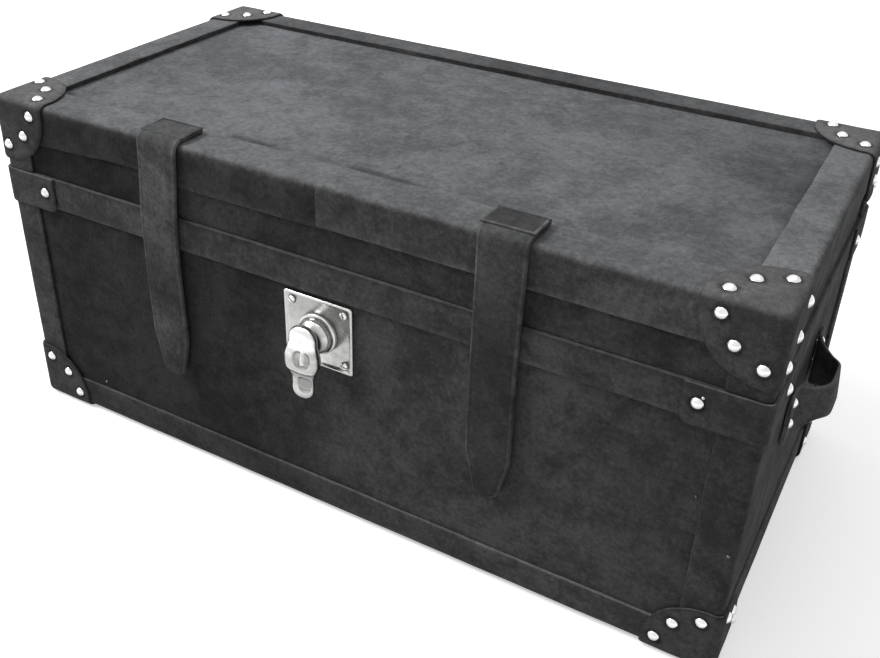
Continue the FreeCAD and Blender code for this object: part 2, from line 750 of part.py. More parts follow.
strap_end = "tail_top + strap_gap"
for side, sign in (("left", "-"), ("right", "+")):
    middle_x = f"hardware_shift {sign} strap_spacing / 2"
    strap = padded(f"{side}_strap", "YZ_Plane", [
        ("strap_start - bind_y", "lid_top"), ("strap_start - bind_y", "lid_top + strap"),
        ("-bind_y - strap", "lid_top + strap"), ("-bind_y - strap", strap_end),
        ("-bind_y", strap_end), ("-bind_y", "lid_top")], "strap_width")
    softened(strap, "edge_round + strap",
             lambda middle, run: near(middle.y, "-bind_y - strap") and near(middle.z, "lid_top + strap"))
    softened(strap, "edge_round",
             lambda middle, run: near(middle.y, "-bind_y") and near(middle.z, "lid_top"))
    node(f"{side}_strap", stand(strap, f"{middle_x} - strap_width / 2", "0", "0"))
    tail = padded(f"{side}_tail", "XZ_Plane", [
        ("-strap_width / 2", "tail_top"), ("strap_width / 2", "tail_top"),
        ("strap_width / 2", "skirt_low - strap_drop + strap_taper"),
        ("strap_tip_width / 2", "skirt_low - strap_drop"), ("-strap_tip_width / 2", "skirt_low - strap_drop"),
        ("-strap_width / 2", "skirt_low - strap_drop + strap_taper")], "tail")
    softened(tail, "strap_tip_round",
             lambda middle, run: abs(run.y) > 1 and near(middle.z, "skirt_low - strap_drop"))
    softened(tail, "tail * 0.48",
             lambda middle, run: abs(run.x) > 1 and near(middle.z, "tail_top"))
    node(f"{side}_strap_tail", stand(tail, middle_x, "-bind_y - strap_gap", "0"))

# Lock. Its pieces are made upright about Z, with the leather's face at zero, and then laid to face the front.

LAID = Rotation(Vector(1, 0, 0), 90)


def laid(name, thing):
    """Turns a finished lock piece to face the front and puts it on the lock's axis."""
    thing.Placement = Placement(Vector(), LAID)
    return node(name, stand(thing, lock_x, "-skin_y", "lock_up"))


lock_plate = padded("lock_plate_blank", "XZ_Plane", [
    ("-plate_width / 2", "-plate_height / 2"), ("plate_width / 2", "-plate_height / 2"),
    ("plate_width / 2", "plate_height / 2"), ("-plate_width / 2", "plate_height / 2")], "plate")
softened(lock_plate, "plate_round", lambda middle, run: abs(run.y) > 1)
stand(lock_plate, lock_x, "-skin_y", "lock_up")
node("lock_plate", cut("lock_plate_drilled", lock_plate, lock_screw_holes, tube_hole))
node("lock_screws", driven("lock_screws", screw, lock_screw_spots))
bore = "spindle_radius + running_fit"
laid("lock_boss", turned("lock_boss", [
    (bore, "lock_front"), ("neck_radius", "lock_front"), ("neck_radius", "plate + boss_rim"),
    ("boss_radius", "plate + boss_rim"), ("boss_radius", "plate"), ("tube_radius", "plate"),
    ("tube_radius", "tube_end"), (bore, "tube_end")]))
nut_hex = doc.addObject("Part::Prism", "lock_nut_hex")
nut_hex.Polygon = 6
bind(nut_hex, Circumradius="nut_radius", Height="nut")
stand(nut_hex, "0", "0", "-(skin + board) - nut")
nut_bore = rod("lock_nut_bore", "tube_radius + shank_fit", "nut", at=("0", "0", "-(skin + board) - nut"))
laid("lock_nut", cut("lock_nut", nut_hex, nut_bore))

# Lever, spindle and hook cam turn together

spindle_end = "cam_back"
laid("lock_spindle", turned("lock_spindle", [
    ("0", "knob_back + spindle_in_knob"), ("spindle_radius", "knob_back + spindle_in_knob"),
    ("spindle_radius", spindle_end), ("cam_screw_shank + shank_fit", spindle_end),
    ("cam_screw_shank + shank_fit", f"{spindle_end} + cam_screw_length + hole_spare"),
    ("0", f"{spindle_end} + cam_screw_length + hole_spare")]))
knob = rounded("lock_knob", rod("lock_knob_blank", "knob_radius", "knob_depth", at=("0", "knob_up", "knob_back")),
               "knob_round", lambda middle, run: near(middle.z, "knob_front"))
head = padded("lock_head", "XY_Plane", [
    ("-knob_radius", "knob_up"), ("-head_width / 2", "-head_straight"), ("-tongue_width / 2", "-head_reach"),
    ("tongue_width / 2", "-head_reach"), ("head_width / 2", "-head_straight"), ("knob_radius", "knob_up")],
    "knob_depth - head_set_back")
stand(head, "0", "0", "knob_back")
doc.recompute()
softened(head, "head_round", lambda middle, run: near(middle.z, "knob_front - head_set_back - knob_back"))
tongue_blank = block("lock_tongue_blank", ("-tongue_width / 2", "tongue_width / 2"), ("-tongue_reach", "0"),
                     ("knob_front - tongue_set_back - tongue", "knob_front - tongue_set_back"))
tongue = rounded("lock_tongue", tongue_blank, "tongue_width * 0.48",
                 lambda middle, run: abs(run.z) > 1 and near(middle.y, "-tongue_reach"))
knob_bore = rod("lock_knob_bore", "spindle_radius + shank_fit", "spindle_in_knob", at=("0", "0", "knob_back"))
laid("lock_lever", cut("lock_lever", fuse("lock_lever_solid", knob, head, tongue), knob_bore))
hub = rod("cam_hub_blank", "cam_hub", "cam", at=("0", "0", "cam_back"))
hook_disc = rod("hook_disc", "hook_radius + hook_width", "cam")
bind(hook_disc, Angle="hook_lead + hook_trail")
hook = cut("hook", hook_disc, rod("hook_room", "hook_radius", "cam"))
hook.Placement = Placement(Vector(), Rotation(Vector(0, 0, 1), -number("hook_trail")))
stand(hook, "0", "0", "cam_back")
arm = block("cam_arm_blank", ("0", "hook_radius + hook_width / 2"), ("-cam_arm / 2", "cam_arm / 2"),
            ("0", "cam"))
arm_turned = group("cam_arm_turned", arm)
arm_turned.Placement = Placement(Vector(), Rotation(Vector(0, 0, 1), -number("cam_arm_angle")))
stand(arm_turned, "0", "0", "cam_back")
cam_bore = rod("cam_bore", "spindle_radius + shank_fit", "cam", at=("0", "0", "cam_back"))
laid("lock_cam", cut("lock_cam", fuse("lock_cam_solid", hub, hook, arm_turned), cam_bore))
laid("lock_cam_screw", turned("lock_cam_screw", [
    ("0", f"{spindle_end} + cam_screw_length"), ("cam_screw_shank", f"{spindle_end} + cam_screw_length"),
    ("cam_screw_shank", spindle_end), ("cam_screw_radius", spindle_end),
    ("cam_screw_radius", f"{spindle_end} - cam_screw_head"), ("0", f"{spindle_end} - cam_screw_head")]))

# Keeper: a pad screwed inside the lid's front rail, with a tongue that hangs into the body and carries a peg

KEEPER_X = (f"{lock_x} - keeper_width / 2", f"{lock_x} + keeper_width / 2")
keeper_pad = block("keeper_pad_blank", KEEPER_X, ("-felt_y", "keeper_face"),
                   ("lid_low", "lid_low + keeper_pad_height"))
keeper_tongue = block("keeper_tongue_blank", KEEPER_X, ("keeper_face - keeper_tongue", "keeper_face"),
                      ("keeper_low", "lid_low + keeper_pad_height"))
keeper_peg = rod("keeper_peg_blank", "peg_radius", "peg_length + keeper_tongue", "-y",
                 (lock_x, "keeper_face + peg_length", "peg_up"))
keeper = fuse("keeper_solid", keeper_pad, keeper_tongue, keeper_peg)
node("lid_keeper", cut("keeper_drilled", keeper, keeper_holes))
node("keeper_screws", driven("keeper_screws", screw, keeper_screw_spots))


# Hinges: leaves outside the back, interleaved knuckles on one pin, a heel on the lid's middle knuckle

def knuckle(name, start, length):
    return rod(name, "knuckle_radius", length, "x", (start, "hinge_y", "hinge_z"))


body_leaves = []
lid_leaves = []
pins = []
outer_length = "(hinge_width - knuckle_middle) / 2 - knuckle_gap"
for number_of, place in enumerate(hinge_places, 1):
    name = f"hinge_{number_of}"
    left_end = f"{place} - hinge_width / 2"
    right_end = f"{place} + hinge_width / 2"
    pin_hole = rod(name + "_bore", "pin_radius + pin_fit", "hinge_width", "x",
                   (left_end, "hinge_y", "hinge_z"))
    pieces = [block(name + "_body_plate", (left_end, right_end), ("bind_y", "bind_y + leaf"),
                    ("hinge_z - leaf_height", "hinge_z - leaf_clear"))]
    for end, start in (("left", left_end), ("right", f"{right_end} - ({outer_length})")):
        pieces.append(knuckle(f"{name}_{end}_knuckle", start, outer_length))
        pieces.append(block(f"{name}_{end}_neck", (start, f"{start} + {outer_length}"), ("bind_y", "hinge_y"),
                            ("hinge_z - leaf_clear", "hinge_z")))
    body_solid = fuse(name + "_body_solid", *pieces)
    body_leaves.append(cut(name + "_body_leaf", body_solid, pin_hole, body_leaf_holes))
    inner_start = f"{place} - knuckle_middle / 2"
    inner_end = f"{place} + knuckle_middle / 2"
    heel = block(name + "_heel_blank", ("0", "knuckle_middle"), ("heel_face", "heel_face + heel"),
                 ("-heel_length", "0"))
    heel_raised = group(name + "_heel", heel)
    heel_raised.Placement = Placement(Vector(), Rotation(Vector(1, 0, 0), number("lid_opening")))
    stand(heel_raised, inner_start, "hinge_y", "hinge_z")
    lid_plate = block(name + "_lid_plate", (left_end, right_end), ("skin_y", "skin_y + leaf"),
                      ("hinge_z + leaf_clear", "hinge_z + leaf_height"))
    lid_neck = block(name + "_lid_neck", (inner_start, inner_end), ("skin_y", "hinge_y"),
                     ("hinge_z", "hinge_z + leaf_clear + leaf"))
    lid_solid = fuse(name + "_lid_solid", lid_plate, lid_neck, heel_raised,
                     knuckle(name + "_middle_knuckle", inner_start, "knuckle_middle"))
    lid_leaves.append(cut(name + "_lid_leaf", lid_solid, pin_hole, lid_leaf_holes))
    pins.append(rod(name + "_pin", "pin_radius", "hinge_width", "x", (left_end, "hinge_y", "hinge_z")))
node("hinge_body_leaves", group("hinge_body_leaves", *body_leaves))
node("hinge_lid_leaves", group("hinge_lid_leaves", *lid_leaves))
node("hinge_pins", group("hinge_pins", *pins))
node("hinge_body_screws", driven("hinge_body_screws", screw, body_leaf_spots))
node("hinge_lid_screws", driven("hinge_lid_screws", screw, lid_leaf_spots))

# Every object has to be sound before anything is written

doc.recompute()
for thing in doc.Objects:
    if "Invalid" in thing.State or "Error" in thing.State:
        raise RuntimeError(f"{thing.Label} failed: {thing.State}")
os.makedirs("parts", exist_ok=True)
for thing in nodes:
    if thing.Shape.isNull() or not thing.Shape.isValid() or not thing.Shape.Solids:
        raise RuntimeError(f"{thing.Label} has no sound shape")
for thing in nodes:
    thing.Shape.exportStep(f"parts/{thing.Label}.step")
print(len(nodes), "sub-parts written")
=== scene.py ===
import math

import bmesh
import bpy
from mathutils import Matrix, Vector, noise
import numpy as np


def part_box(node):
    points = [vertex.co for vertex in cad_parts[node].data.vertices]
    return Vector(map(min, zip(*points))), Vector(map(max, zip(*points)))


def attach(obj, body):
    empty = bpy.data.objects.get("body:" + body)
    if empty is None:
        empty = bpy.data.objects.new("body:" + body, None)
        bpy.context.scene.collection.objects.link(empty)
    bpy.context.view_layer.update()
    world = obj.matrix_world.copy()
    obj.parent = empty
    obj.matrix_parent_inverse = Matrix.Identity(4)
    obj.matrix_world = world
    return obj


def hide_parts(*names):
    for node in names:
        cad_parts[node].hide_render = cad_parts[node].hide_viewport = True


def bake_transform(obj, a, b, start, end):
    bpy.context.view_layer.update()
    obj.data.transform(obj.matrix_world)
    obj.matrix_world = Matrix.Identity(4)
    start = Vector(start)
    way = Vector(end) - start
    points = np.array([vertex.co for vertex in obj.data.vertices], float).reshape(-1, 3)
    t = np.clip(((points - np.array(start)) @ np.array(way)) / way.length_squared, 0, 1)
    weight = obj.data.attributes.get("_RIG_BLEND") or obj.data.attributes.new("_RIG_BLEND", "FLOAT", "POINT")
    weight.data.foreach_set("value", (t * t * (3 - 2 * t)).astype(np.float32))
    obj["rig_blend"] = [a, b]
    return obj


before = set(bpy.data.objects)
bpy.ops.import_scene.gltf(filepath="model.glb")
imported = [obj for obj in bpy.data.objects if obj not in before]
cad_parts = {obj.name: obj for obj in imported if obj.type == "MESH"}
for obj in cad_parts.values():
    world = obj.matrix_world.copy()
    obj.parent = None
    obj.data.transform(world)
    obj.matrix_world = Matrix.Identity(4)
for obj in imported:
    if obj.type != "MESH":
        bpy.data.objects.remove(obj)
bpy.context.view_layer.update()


# The picture's view: the trunk stands turned, its front right corner nearest, and the eye is
# above the lid. A normal lens, with the small shift that the picture's framing needs.
view = bpy.data.cameras.new("picture_view")
view.sensor_fit = "HORIZONTAL"
view.sensor_width = 36.0
view.lens = 42.352
view.shift_x, view.shift_y = 0.01048, -0.05504
eye = bpy.data.objects.new("picture_view", view)
eye.location = (0.46850, -0.85347, 0.73997)
eye.rotation_euler = [math.radians(turn) for turn in (59.80495, -1.44244, 29.50728)]
bpy.context.scene.collection.objects.link(eye)
bpy.context.scene.camera = eye


# Boards of the body and the lid: thin planed pine, butted and glued into two open boxes.
# The leather and the felt hide them, except for the underside of the bottom board.
def fresh_finish(name):
    """A material: its node tree, its shader and the piece's own coordinates in metres."""
    finish = bpy.data.materials.new(name)
    finish.use_nodes = True
    tree = finish.node_tree
    return finish, tree, tree.nodes["Principled BSDF"], tree.nodes.new("ShaderNodeTexCoord").outputs


def add(tree, kind, sockets, **settings):
    """One node. A socket takes a plain value or is joined to another node's output."""
    made = tree.nodes.new("ShaderNode" + kind)
    for name, value in settings.items():
        setattr(made, name, value)
    for name, value in sockets.items():
        if isinstance(value, bpy.types.NodeSocket):
            tree.links.new(value, made.inputs[name])
        else:
            made.inputs[name].default_value = value
    return made.outputs


def spread(tree, value, low, high, to_low=0.0, to_high=1.0):
    """A value stretched from one range to another, with soft ends."""
    return add(tree, "MapRange", {"Value": value, "From Min": low, "From Max": high, "To Min": to_low,
                                  "To Max": to_high}, interpolation_type="SMOOTHSTEP")["Result"]


def mixed(tree, share, first, second):
    """Two colours mixed by a share."""
    return add(tree, "Mix", {0: share, 6: first, 7: second}, data_type="RGBA")[2]


def clouded(tree, where, scale, detail, roughness=0.5, distortion=0.0):
    """Cloudy unevenness between 0 and 1."""
    return add(tree, "TexNoise", {"Vector": where, "Scale": scale, "Detail": detail, "Roughness": roughness,
                                  "Distortion": distortion})["Fac"]


def reckoned(tree, operation, *values):
    """Numbers put together by one operation."""
    return add(tree, "Math", dict(enumerate(values)), operation=operation)[0]


def bumped(tree, shader, height, strength, depth):
    """A surface raised by a height, in metres."""
    raised = add(tree, "Bump", {"Height": height, "Strength": strength, "Distance": depth})
    tree.links.new(raised["Normal"], shader.inputs["Normal"])


def pine(name, stretch):
    """Planed softwood, with its grain along the short way of the stretch."""
    finish, tree, shader, where = fresh_finish(name)
    along = add(tree, "Mapping", {"Vector": where["Object"], "Scale": stretch})["Vector"]
    rings, pores = clouded(tree, along, 1.0, 5.0, 0.6, 0.8), clouded(tree, along, 9.0, 3.0)
    stained = clouded(tree, where["Object"], 6.0, 3.0)
    bands = spread(tree, rings, 0.36, 0.66)
    wood = mixed(tree, bands, (0.52, 0.36, 0.20, 1), (0.33, 0.20, 0.10, 1))
    wood = mixed(tree, spread(tree, pores, 0.55, 0.8, 0.0, 0.4), wood, (0.22, 0.13, 0.07, 1))
    wood = mixed(tree, spread(tree, stained, 0.5, 0.8, 0.0, 0.35), wood, (0.27, 0.19, 0.12, 1))
    tree.links.new(wood, shader.inputs["Base Color"])
    tree.links.new(spread(tree, pores, 0.3, 0.8, 0.5, 0.75), shader.inputs["Roughness"])
    bumped(tree, shader, pores, 0.4, 0.0004)
    return finish


def finish_node(finish, *nodes):
    """A carried-over solid takes a finish."""
    for node in nodes:
        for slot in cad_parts[node].material_slots:
            slot.material = finish


along_grain, across_grain = 4.0, 70.0
pine_lengthwise = pine("pine_lengthwise", (along_grain, across_grain, across_grain))
pine_crosswise = pine("pine_crosswise", (across_grain, along_grain, across_grain))
for box in ("body", "lid"):
    finish_node(pine_lengthwise, box + "_front_board", box + "_back_board",
                "body_bottom_board" if box == "body" else "lid_top_board")
    finish_node(pine_crosswise, box + "_left_board", box + "_right_board")


# Felt linings: wine-red brushed felt, cut to the inside faces of the body and of the lid and
# glued down. It lies a little unevenly and is rubbed paler where hands and goods touch it.
def meshed(name, mesh_work, finish, sharp=52):
    """An object made of a mesh. Edges that turn by more than the sharp angle, in degrees, stay crisp."""
    bmesh.ops.recalc_face_normals(mesh_work, faces=mesh_work.faces)
    mesh = bpy.data.meshes.new(name)
    mesh_work.to_mesh(mesh)
    mesh_work.free()
    mesh.shade_smooth()
    mesh.set_sharp_from_angle(angle=math.radians(sharp))
    mesh.materials.append(finish)
    made = bpy.data.objects.new(name, mesh)
    bpy.context.scene.collection.objects.link(made)
    return made


def built(name, mesh_work, finish, body, slot, *nodes):
    """A finished piece that rides on a body and stands for CAD nodes."""
    made = meshed(name, mesh_work, finish)
    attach(made, body)
    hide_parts(*nodes)


def fresh_mesh():
    """An empty mesh whose points carry how rubbed they are and how much lighter or darker."""
    mesh_work = bmesh.new()
    mesh_work.verts.layers.float.new("rub")
    mesh_work.verts.layers.float.new("tone")
    return mesh_work


def spot(mesh_work, place, rub=0.0, tone=0.0):
    """One point of a mesh."""
    made = mesh_work.verts.new(place)
    made[mesh_work.verts.layers.float["rub"]] = rub
    made[mesh_work.verts.layers.float["tone"]] = tone
    return made


def waver(place, size, turn=0.0):
    """Smooth unevenness between -1 and 1, of about that size in metres."""
    return noise.noise(Vector(place) / size + Vector((turn, 1.7 * turn, 0.6 * turn)))


def uneven(place, waves):
    """Unevenness summed from waves of (height, size, turn)."""
    return sum(height * waver(place, size, turn) for height, size, turn in waves)


def netted(mesh_work, rows):
    """Rows of points joined into a net of faces."""
    for low, high in zip(rows, rows[1:]):
        for column in range(len(low) - 1):
            mesh_work.faces.new((low[column], low[column + 1], high[column + 1], high[column]))


def laid_sheet(mesh_work, face, columns, rows, back):
    """A sheet laid on a flat face: face(u, v) gives (place, rub, tone), and back leads to the board."""
    front = [[spot(mesh_work, *face(column / columns, row / rows)) for column in range(columns + 1)]
             for row in range(rows + 1)]
    netted(mesh_work, front)
    rim = (front[0] + [row[-1] for row in front[1:-1]] + front[-1][::-1]
           + [row[0] for row in front[-2:0:-1]])
    under = [spot(mesh_work, point.co + Vector(back)) for point in rim]
    for count, point in enumerate(rim):
        follow = (count + 1) % len(rim)
        mesh_work.faces.new((point, rim[follow], under[follow], under[count]))
    mesh_work.faces.new(under)


def skinned(mesh_work, rings):
    """Closed rings of points joined into one closed skin."""
    for first, second in zip(rings, rings[1:]):
        for number in range(len(first)):
            follow = (number + 1) % len(first)
            mesh_work.faces.new((first[number], first[follow], second[follow], second[number]))
    mesh_work.faces.new(rings[0][::-1])
    mesh_work.faces.new(rings[-1])


felt_finish, tree, shader, where = fresh_finish("wine_felt")
tufts = clouded(tree, where["Object"], 420.0, 5.0, 0.75)
rubs = clouded(tree, where["Object"], 9.0, 4.0, 0.6)
felt = mixed(tree, spread(tree, rubs, 0.35, 0.7), (0.105, 0.020, 0.022, 1), (0.180, 0.052, 0.050, 1))
felt = mixed(tree, spread(tree, tufts, 0.45, 0.75, 0.0, 0.45), felt, (0.26, 0.10, 0.09, 1))
tree.links.new(felt, shader.inputs["Base Color"])
tree.links.new(spread(tree, tufts, 0.2, 0.8, 0.86, 1.0), shader.inputs["Roughness"])
shader.inputs["Sheen Weight"].default_value = 0.35
shader.inputs["Sheen Roughness"].default_value = 0.5
shader.inputs["Specular IOR Level"].default_value = 0.2
bumped(tree, shader, tufts, 0.6, 0.0008)
felt_thickness, felt_back = 0.0015, 0.00135
FELT_LIE = ((0.0005, 0.05, 0), (0.0003, 0.017, 3))
# mesh steps along the trunk, across it and up
felt_long, felt_deep, felt_high = 60, 30, 20


def lining(name, node, body, floor_up):
    """Five sheets of felt inside a box: four walls, and its floor or its ceiling."""
    low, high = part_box(node)
    felt_mesh = fresh_mesh()

    def wall(start, run, rise, inward, columns, rows):
        def face(u, v):
            place = Vector(start) + Vector(run) * u + Vector(rise) * v
            return place + Vector(inward) * (felt_thickness + uneven(place, FELT_LIE)), 0.0, 0.0
        laid_sheet(felt_mesh, face, columns, rows, Vector(inward) * -felt_back)

    length, depth, height = high - low
    for y, way in ((low.y, 1), (high.y, -1)):
        wall((low.x, y, low.z), (length, 0, 0), (0, 0, height), (0, way, 0), felt_long, felt_high)
    for x, way in ((low.x, 1), (high.x, -1)):
        wall((x, low.y, low.z), (0, depth, 0), (0, 0, height), (way, 0, 0), felt_deep, felt_high)
    level, up = (low.z, 1) if floor_up else (high.z, -1)
    wall((low.x, low.y, level), (length, 0, 0), (0, depth, 0), (0, 0, up), felt_long, felt_deep)
    built(name, felt_mesh, felt_finish, body, "felt", node)


lining("felt_in_body", "body_lining", "body", True)
lining("felt_in_lid", "lid_lining", "lid", False)


# Cover leather: black hide with its flesh side out, brushed to a short nap, glued on the boards.
# One band goes round the body and one round the lid; a single sheet covers the top, which is faded and also
# painted lighter as if lit from above.
def leather(name, deep, worn, faded_and_lit, pale, rubbed, shift):
    """Napped black leather. Faces that look up take the paler top colours instead of deep and worn: they are
    faded, and also painted lighter as if lit from above.
    """
    finish, tree, shader, where = fresh_finish(name)
    lie = add(tree, "Mapping", {"Vector": where["Object"], "Location": shift})["Vector"]

    def summed(value, share, rest):
        return reckoned(tree, "MULTIPLY_ADD", value, share, rest)

    blotches, scuffs = clouded(tree, lie, 8.0, 6.0, 0.6, 0.8), clouded(tree, lie, 46.0, 7.0, 0.66, 0.5)
    grain, nap = clouded(tree, lie, 210.0, 5.0, 0.7), clouded(tree, lie, 1100.0, 3.0, 0.6)
    patchy = summed(blotches, 0.50, summed(scuffs, 0.34, summed(grain, 0.16, 0.0)))
    mottle = spread(tree, patchy, 0.40, 0.61)
    side = mixed(tree, mottle, deep, worn)
    top = mixed(tree, mottle, faded_and_lit, pale)
    # painted top light, on top of the fade: the more a face looks up, the more it takes the paler top colours
    facing = add(tree, "SeparateXYZ", {"Vector": where["Normal"]})["Z"]
    colour = mixed(tree, spread(tree, facing, 0.30, 0.95), side, top)
    rub = add(tree, "Attribute", {}, attribute_name="rub")["Fac"]
    broken = reckoned(tree, "MULTIPLY", rub, spread(tree, scuffs, 0.36, 0.60, 0.3, 1.0))
    colour = mixed(tree, broken, colour, rubbed)
    tone = add(tree, "Attribute", {}, attribute_name="tone")["Fac"]
    speckle = spread(tree, summed(nap, 0.45, summed(grain, 0.55, 0.0)), 0.36, 0.64, 0.78, 1.22)
    colour = add(tree, "VectorMath", {0: colour, "Scale": summed(tone, speckle, speckle)},
                 operation="SCALE")[0]
    tree.links.new(colour, shader.inputs["Base Color"])
    tree.links.new(spread(tree, scuffs, 0.3, 0.7, 0.95, 0.74), shader.inputs["Roughness"])
    shader.inputs["Specular IOR Level"].default_value = 0.06
    shader.inputs["Sheen Weight"].default_value = 0.04
    shader.inputs["Sheen Roughness"].default_value = 0.45
    pores = add(tree, "TexVoronoi", {"Vector": lie, "Scale": 240.0}, feature="DISTANCE_TO_EDGE")["Distance"]
    relief = summed(spread(tree, pores, 0.0, 0.25), 0.3, summed(scuffs, 1.6, summed(grain, 1.0, nap)))
    bumped(tree, shader, relief, 0.7, 0.0007)
    return finish


cover = leather("cover_leather", (0.025, 0.025, 0.0254, 1), (0.055, 0.055, 0.0556, 1),
                (0.095, 0.098, 0.104, 1), (0.157, 0.161, 0.170, 1), (0.10, 0.10, 0.10, 1), (0.0, 0.0, 0.0))
skin_x, skin_y, skin = 0.3945, 0.1960, 0.0015
cover_long, cover_deep, cover_high = 100, 50, 36
glued_depth, GLUED_LIE = 0.00042, ((0.0003, 0.11, 0), (0.00012, 0.028, 5))
back_tone, SHADE_BORDER = -0.05, ((0.05, 0.09, 21),)


def glued(place, outward):
    """Leather on a board: it sinks a little here and there."""
    return Vector(place) - Vector(outward) * (glued_depth + uneven(place, GLUED_LIE))


def eased(value, start, end):
    """0 up to the start, 1 from the end, and a soft rise between them."""
    share = min(1.0, max(0.0, (value - start) / (end - start)))
    return share * share * (3 - 2 * share)


def leather_band(name, node, body, front_tone):
    """Four sheets round a box, from the CAD band's foot to its top. front_tone shades the front from its
    left end, 0, to its right end, 1."""
    low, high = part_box(node)
    band_mesh = fresh_mesh()
    for side in (-1, 1):
        def long_face(u, v):
            place = (-skin_x + 2 * skin_x * u, side * skin_y, low.z + (high.z - low.z) * v)
            tone = front_tone(u + uneven(place, SHADE_BORDER)) if side < 0 else back_tone
            return glued(place, (0, side, 0)), 0.0, tone
        laid_sheet(band_mesh, long_face, cover_long, cover_high, (0, -side * skin, 0))

        def end_face(u, v):
            place = (side * skin_x, -skin_y + 2 * skin_y * u, low.z + (high.z - low.z) * v)
            return glued(place, (side, 0, 0)), 0.0, 0.0
        laid_sheet(band_mesh, end_face, cover_deep, cover_high, (-side * skin, 0, 0))
    built(name, band_mesh, cover, body, "cover_leather", node)


# both fronts are darkest on the left, and the body's is darker again towards its right end
leather_band("body_band", "body_leather", "body",
             lambda along: -0.18 + 0.36 * math.tanh(14 * (along - 0.46)) - 1.8 * max(0.0, along - 0.82))
leather_band("lid_band", "lid_side_leather", "lid",
             lambda along: -0.64 + 0.40 * eased(along, 0.15, 0.35) + 0.18 * eased(along, 0.4, 0.6))

top_low, top_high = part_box("lid_top_leather")
top_long, top_deep = 130, 160
# where the top is darker: middle, reach and how much; the patches by the right binding are painted shade
DARK_PATCHES = (((0.286, -0.091), 0.045, -0.20), ((0.307, 0.107), 0.085, -0.22),
                ((0.345, 0.03), 0.07, -0.34), ((-0.05, 0.175), 0.12, -0.10),
                ((0.10, -0.02), 0.09, -0.08), ((-0.30, -0.08), 0.09, -0.15))
# painted shadow along the right binding's seam, and in two lines behind the front binding's raised edge
right_seam, seam_shadow, seam_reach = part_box("lid_right_binding")[0].x, 0.20, 0.009
FRONT_LINES, front_line_y = ((-0.148, -0.074), (-0.014, 0.084)), -0.1410
line_shadow, line_reach = 0.55, 0.0045


def top_face(u, v):
    """The top's sheet, with painted shadow along the seam of the right binding and along parts of the front
    one.
    """
    place = Vector((top_low.x + (top_high.x - top_low.x) * u, top_low.y + (top_high.y - top_low.y) * v,
                    top_high.z))
    tone = -seam_shadow * math.exp(-((place.x - right_seam) / seam_reach) ** 2)
    for start, end in FRONT_LINES:
        present = eased(place.x, start, start + 0.015) * (1 - eased(place.x, end - 0.03, end))
        tone -= line_shadow * present * math.exp(-((place.y - front_line_y) / line_reach) ** 2)
    for (x, y), reach, amount in DARK_PATCHES:
        tone += amount * math.exp(-((place.x - x) ** 2 + (place.y - y) ** 2) / reach ** 2)
    return glued(place, (0, 0, 1)), 0.0, tone


top_sheet = fresh_mesh()
laid_sheet(top_sheet, top_face, top_long, top_deep, (0, 0, -skin))
built("top_sheet", top_sheet, cover, "lid", "cover_leather", "lid_top_leather")


# Edge bindings: strips of thicker black leather, folded over every edge of the trunk and glued.
# Their cut edges are hand-trimmed, so they wander a little and are rubbed paler.
binding = leather("binding_leather", (0.032, 0.032, 0.0325, 1), (0.065, 0.065, 0.0665, 1),
                  (0.096, 0.098, 0.102, 1), (0.149, 0.152, 0.157, 1), (0.14, 0.14, 0.14, 1),
                  (3.1, 1.3, 0.4))
bind_x, bind_y, strip_thickness = 0.3975, 0.1990, 0.003
trim, face_step = 0.0013, 0.006
strip_depth, STRIP_LIE = 0.00032, ((0.00022, 0.06, 2), (0.0001, 0.02, 4))
STRIP_WANDER = ((0.0006, 0.045, 7), (0.0003, 0.012, 9))


def folded_section(across, drop, rise, thick, bend):
    """A folded strip's section as (in from the side, down from the edge's top, inward way, rub, wander).
    It runs from the inner edge over the fold to the lower edge, and back on the inside."""
    lip = min(trim, rise * 0.4)
    section = [(across, lip, (1, 0), 0.10, (1, 0)), (across - 0.3 * lip, 0.3 * lip, (0, 1), 0.35, (1, 0)),
               (across - lip, 0.0, (0, 1), 0.30, (1, 0))]
    flat = max(2, round((across - lip - bend) / face_step))
    section += [(across - lip - (across - lip - bend) * step / flat, 0.0, (0, 1), 0.0, (0, 0))
                for step in range(1, flat)]
    for step in range(7):
        turn = math.radians(15 * step)
        section.append((bend - bend * math.sin(turn), bend - bend * math.cos(turn),
                        (math.sin(turn), math.cos(turn)), 0.35 * math.sin(2 * turn), (0, 0)))
    flat = max(2, round((drop - lip - bend) / face_step))
    section += [(0.0, bend + (drop - lip - bend) * step / flat, (1, 0), 0.0, (0, 0))
                for step in range(1, flat)]
    lip = min(trim, thick * 0.4)
    section += [(0.0, drop - lip, (1, 0), 0.45, (0, 1)),
                (0.3 * lip, drop - 0.3 * lip, (1, 0), 0.75, (0, 1)),
                (lip, drop, (1, 0), 0.5, (0, 1)), (thick, drop, (0, 0), 0.0, (0, 1)),
                (thick, rise, (0, 0), 0.0, (0, 0)), (across, rise, (0, 0), 0.0, (1, 0))]
    return section


def folded_strip(strips, section, start, end, lay, step=0.007, tone=None, rub_share=1.0):
    """A strip along an edge. lay(in, down, along) gives the place, and tone(along, down) its shade."""
    count = max(2, round(abs(end - start) / step))
    rings = []
    for number in range(count + 1):
        along = start + (end - start) * number / count
        ring = []
        for inward, down, way, rub, wander in section:
            place = lay(inward, down, along)
            sunk, astray = strip_depth + uneven(place, STRIP_LIE), uneven(place, STRIP_WANDER)
            place = lay(inward + way[0] * sunk + wander[0] * astray,
                        down + way[1] * sunk + wander[1] * astray, along)
            rubbing = rub_share * rub * (0.55 + 0.6 * waver(place, 0.05, 11))
            ring.append(spot(strips, place, max(0.0, rubbing), tone(along, down) if tone else 0.0))
        rings.append(ring)
    skinned(strips, rings)


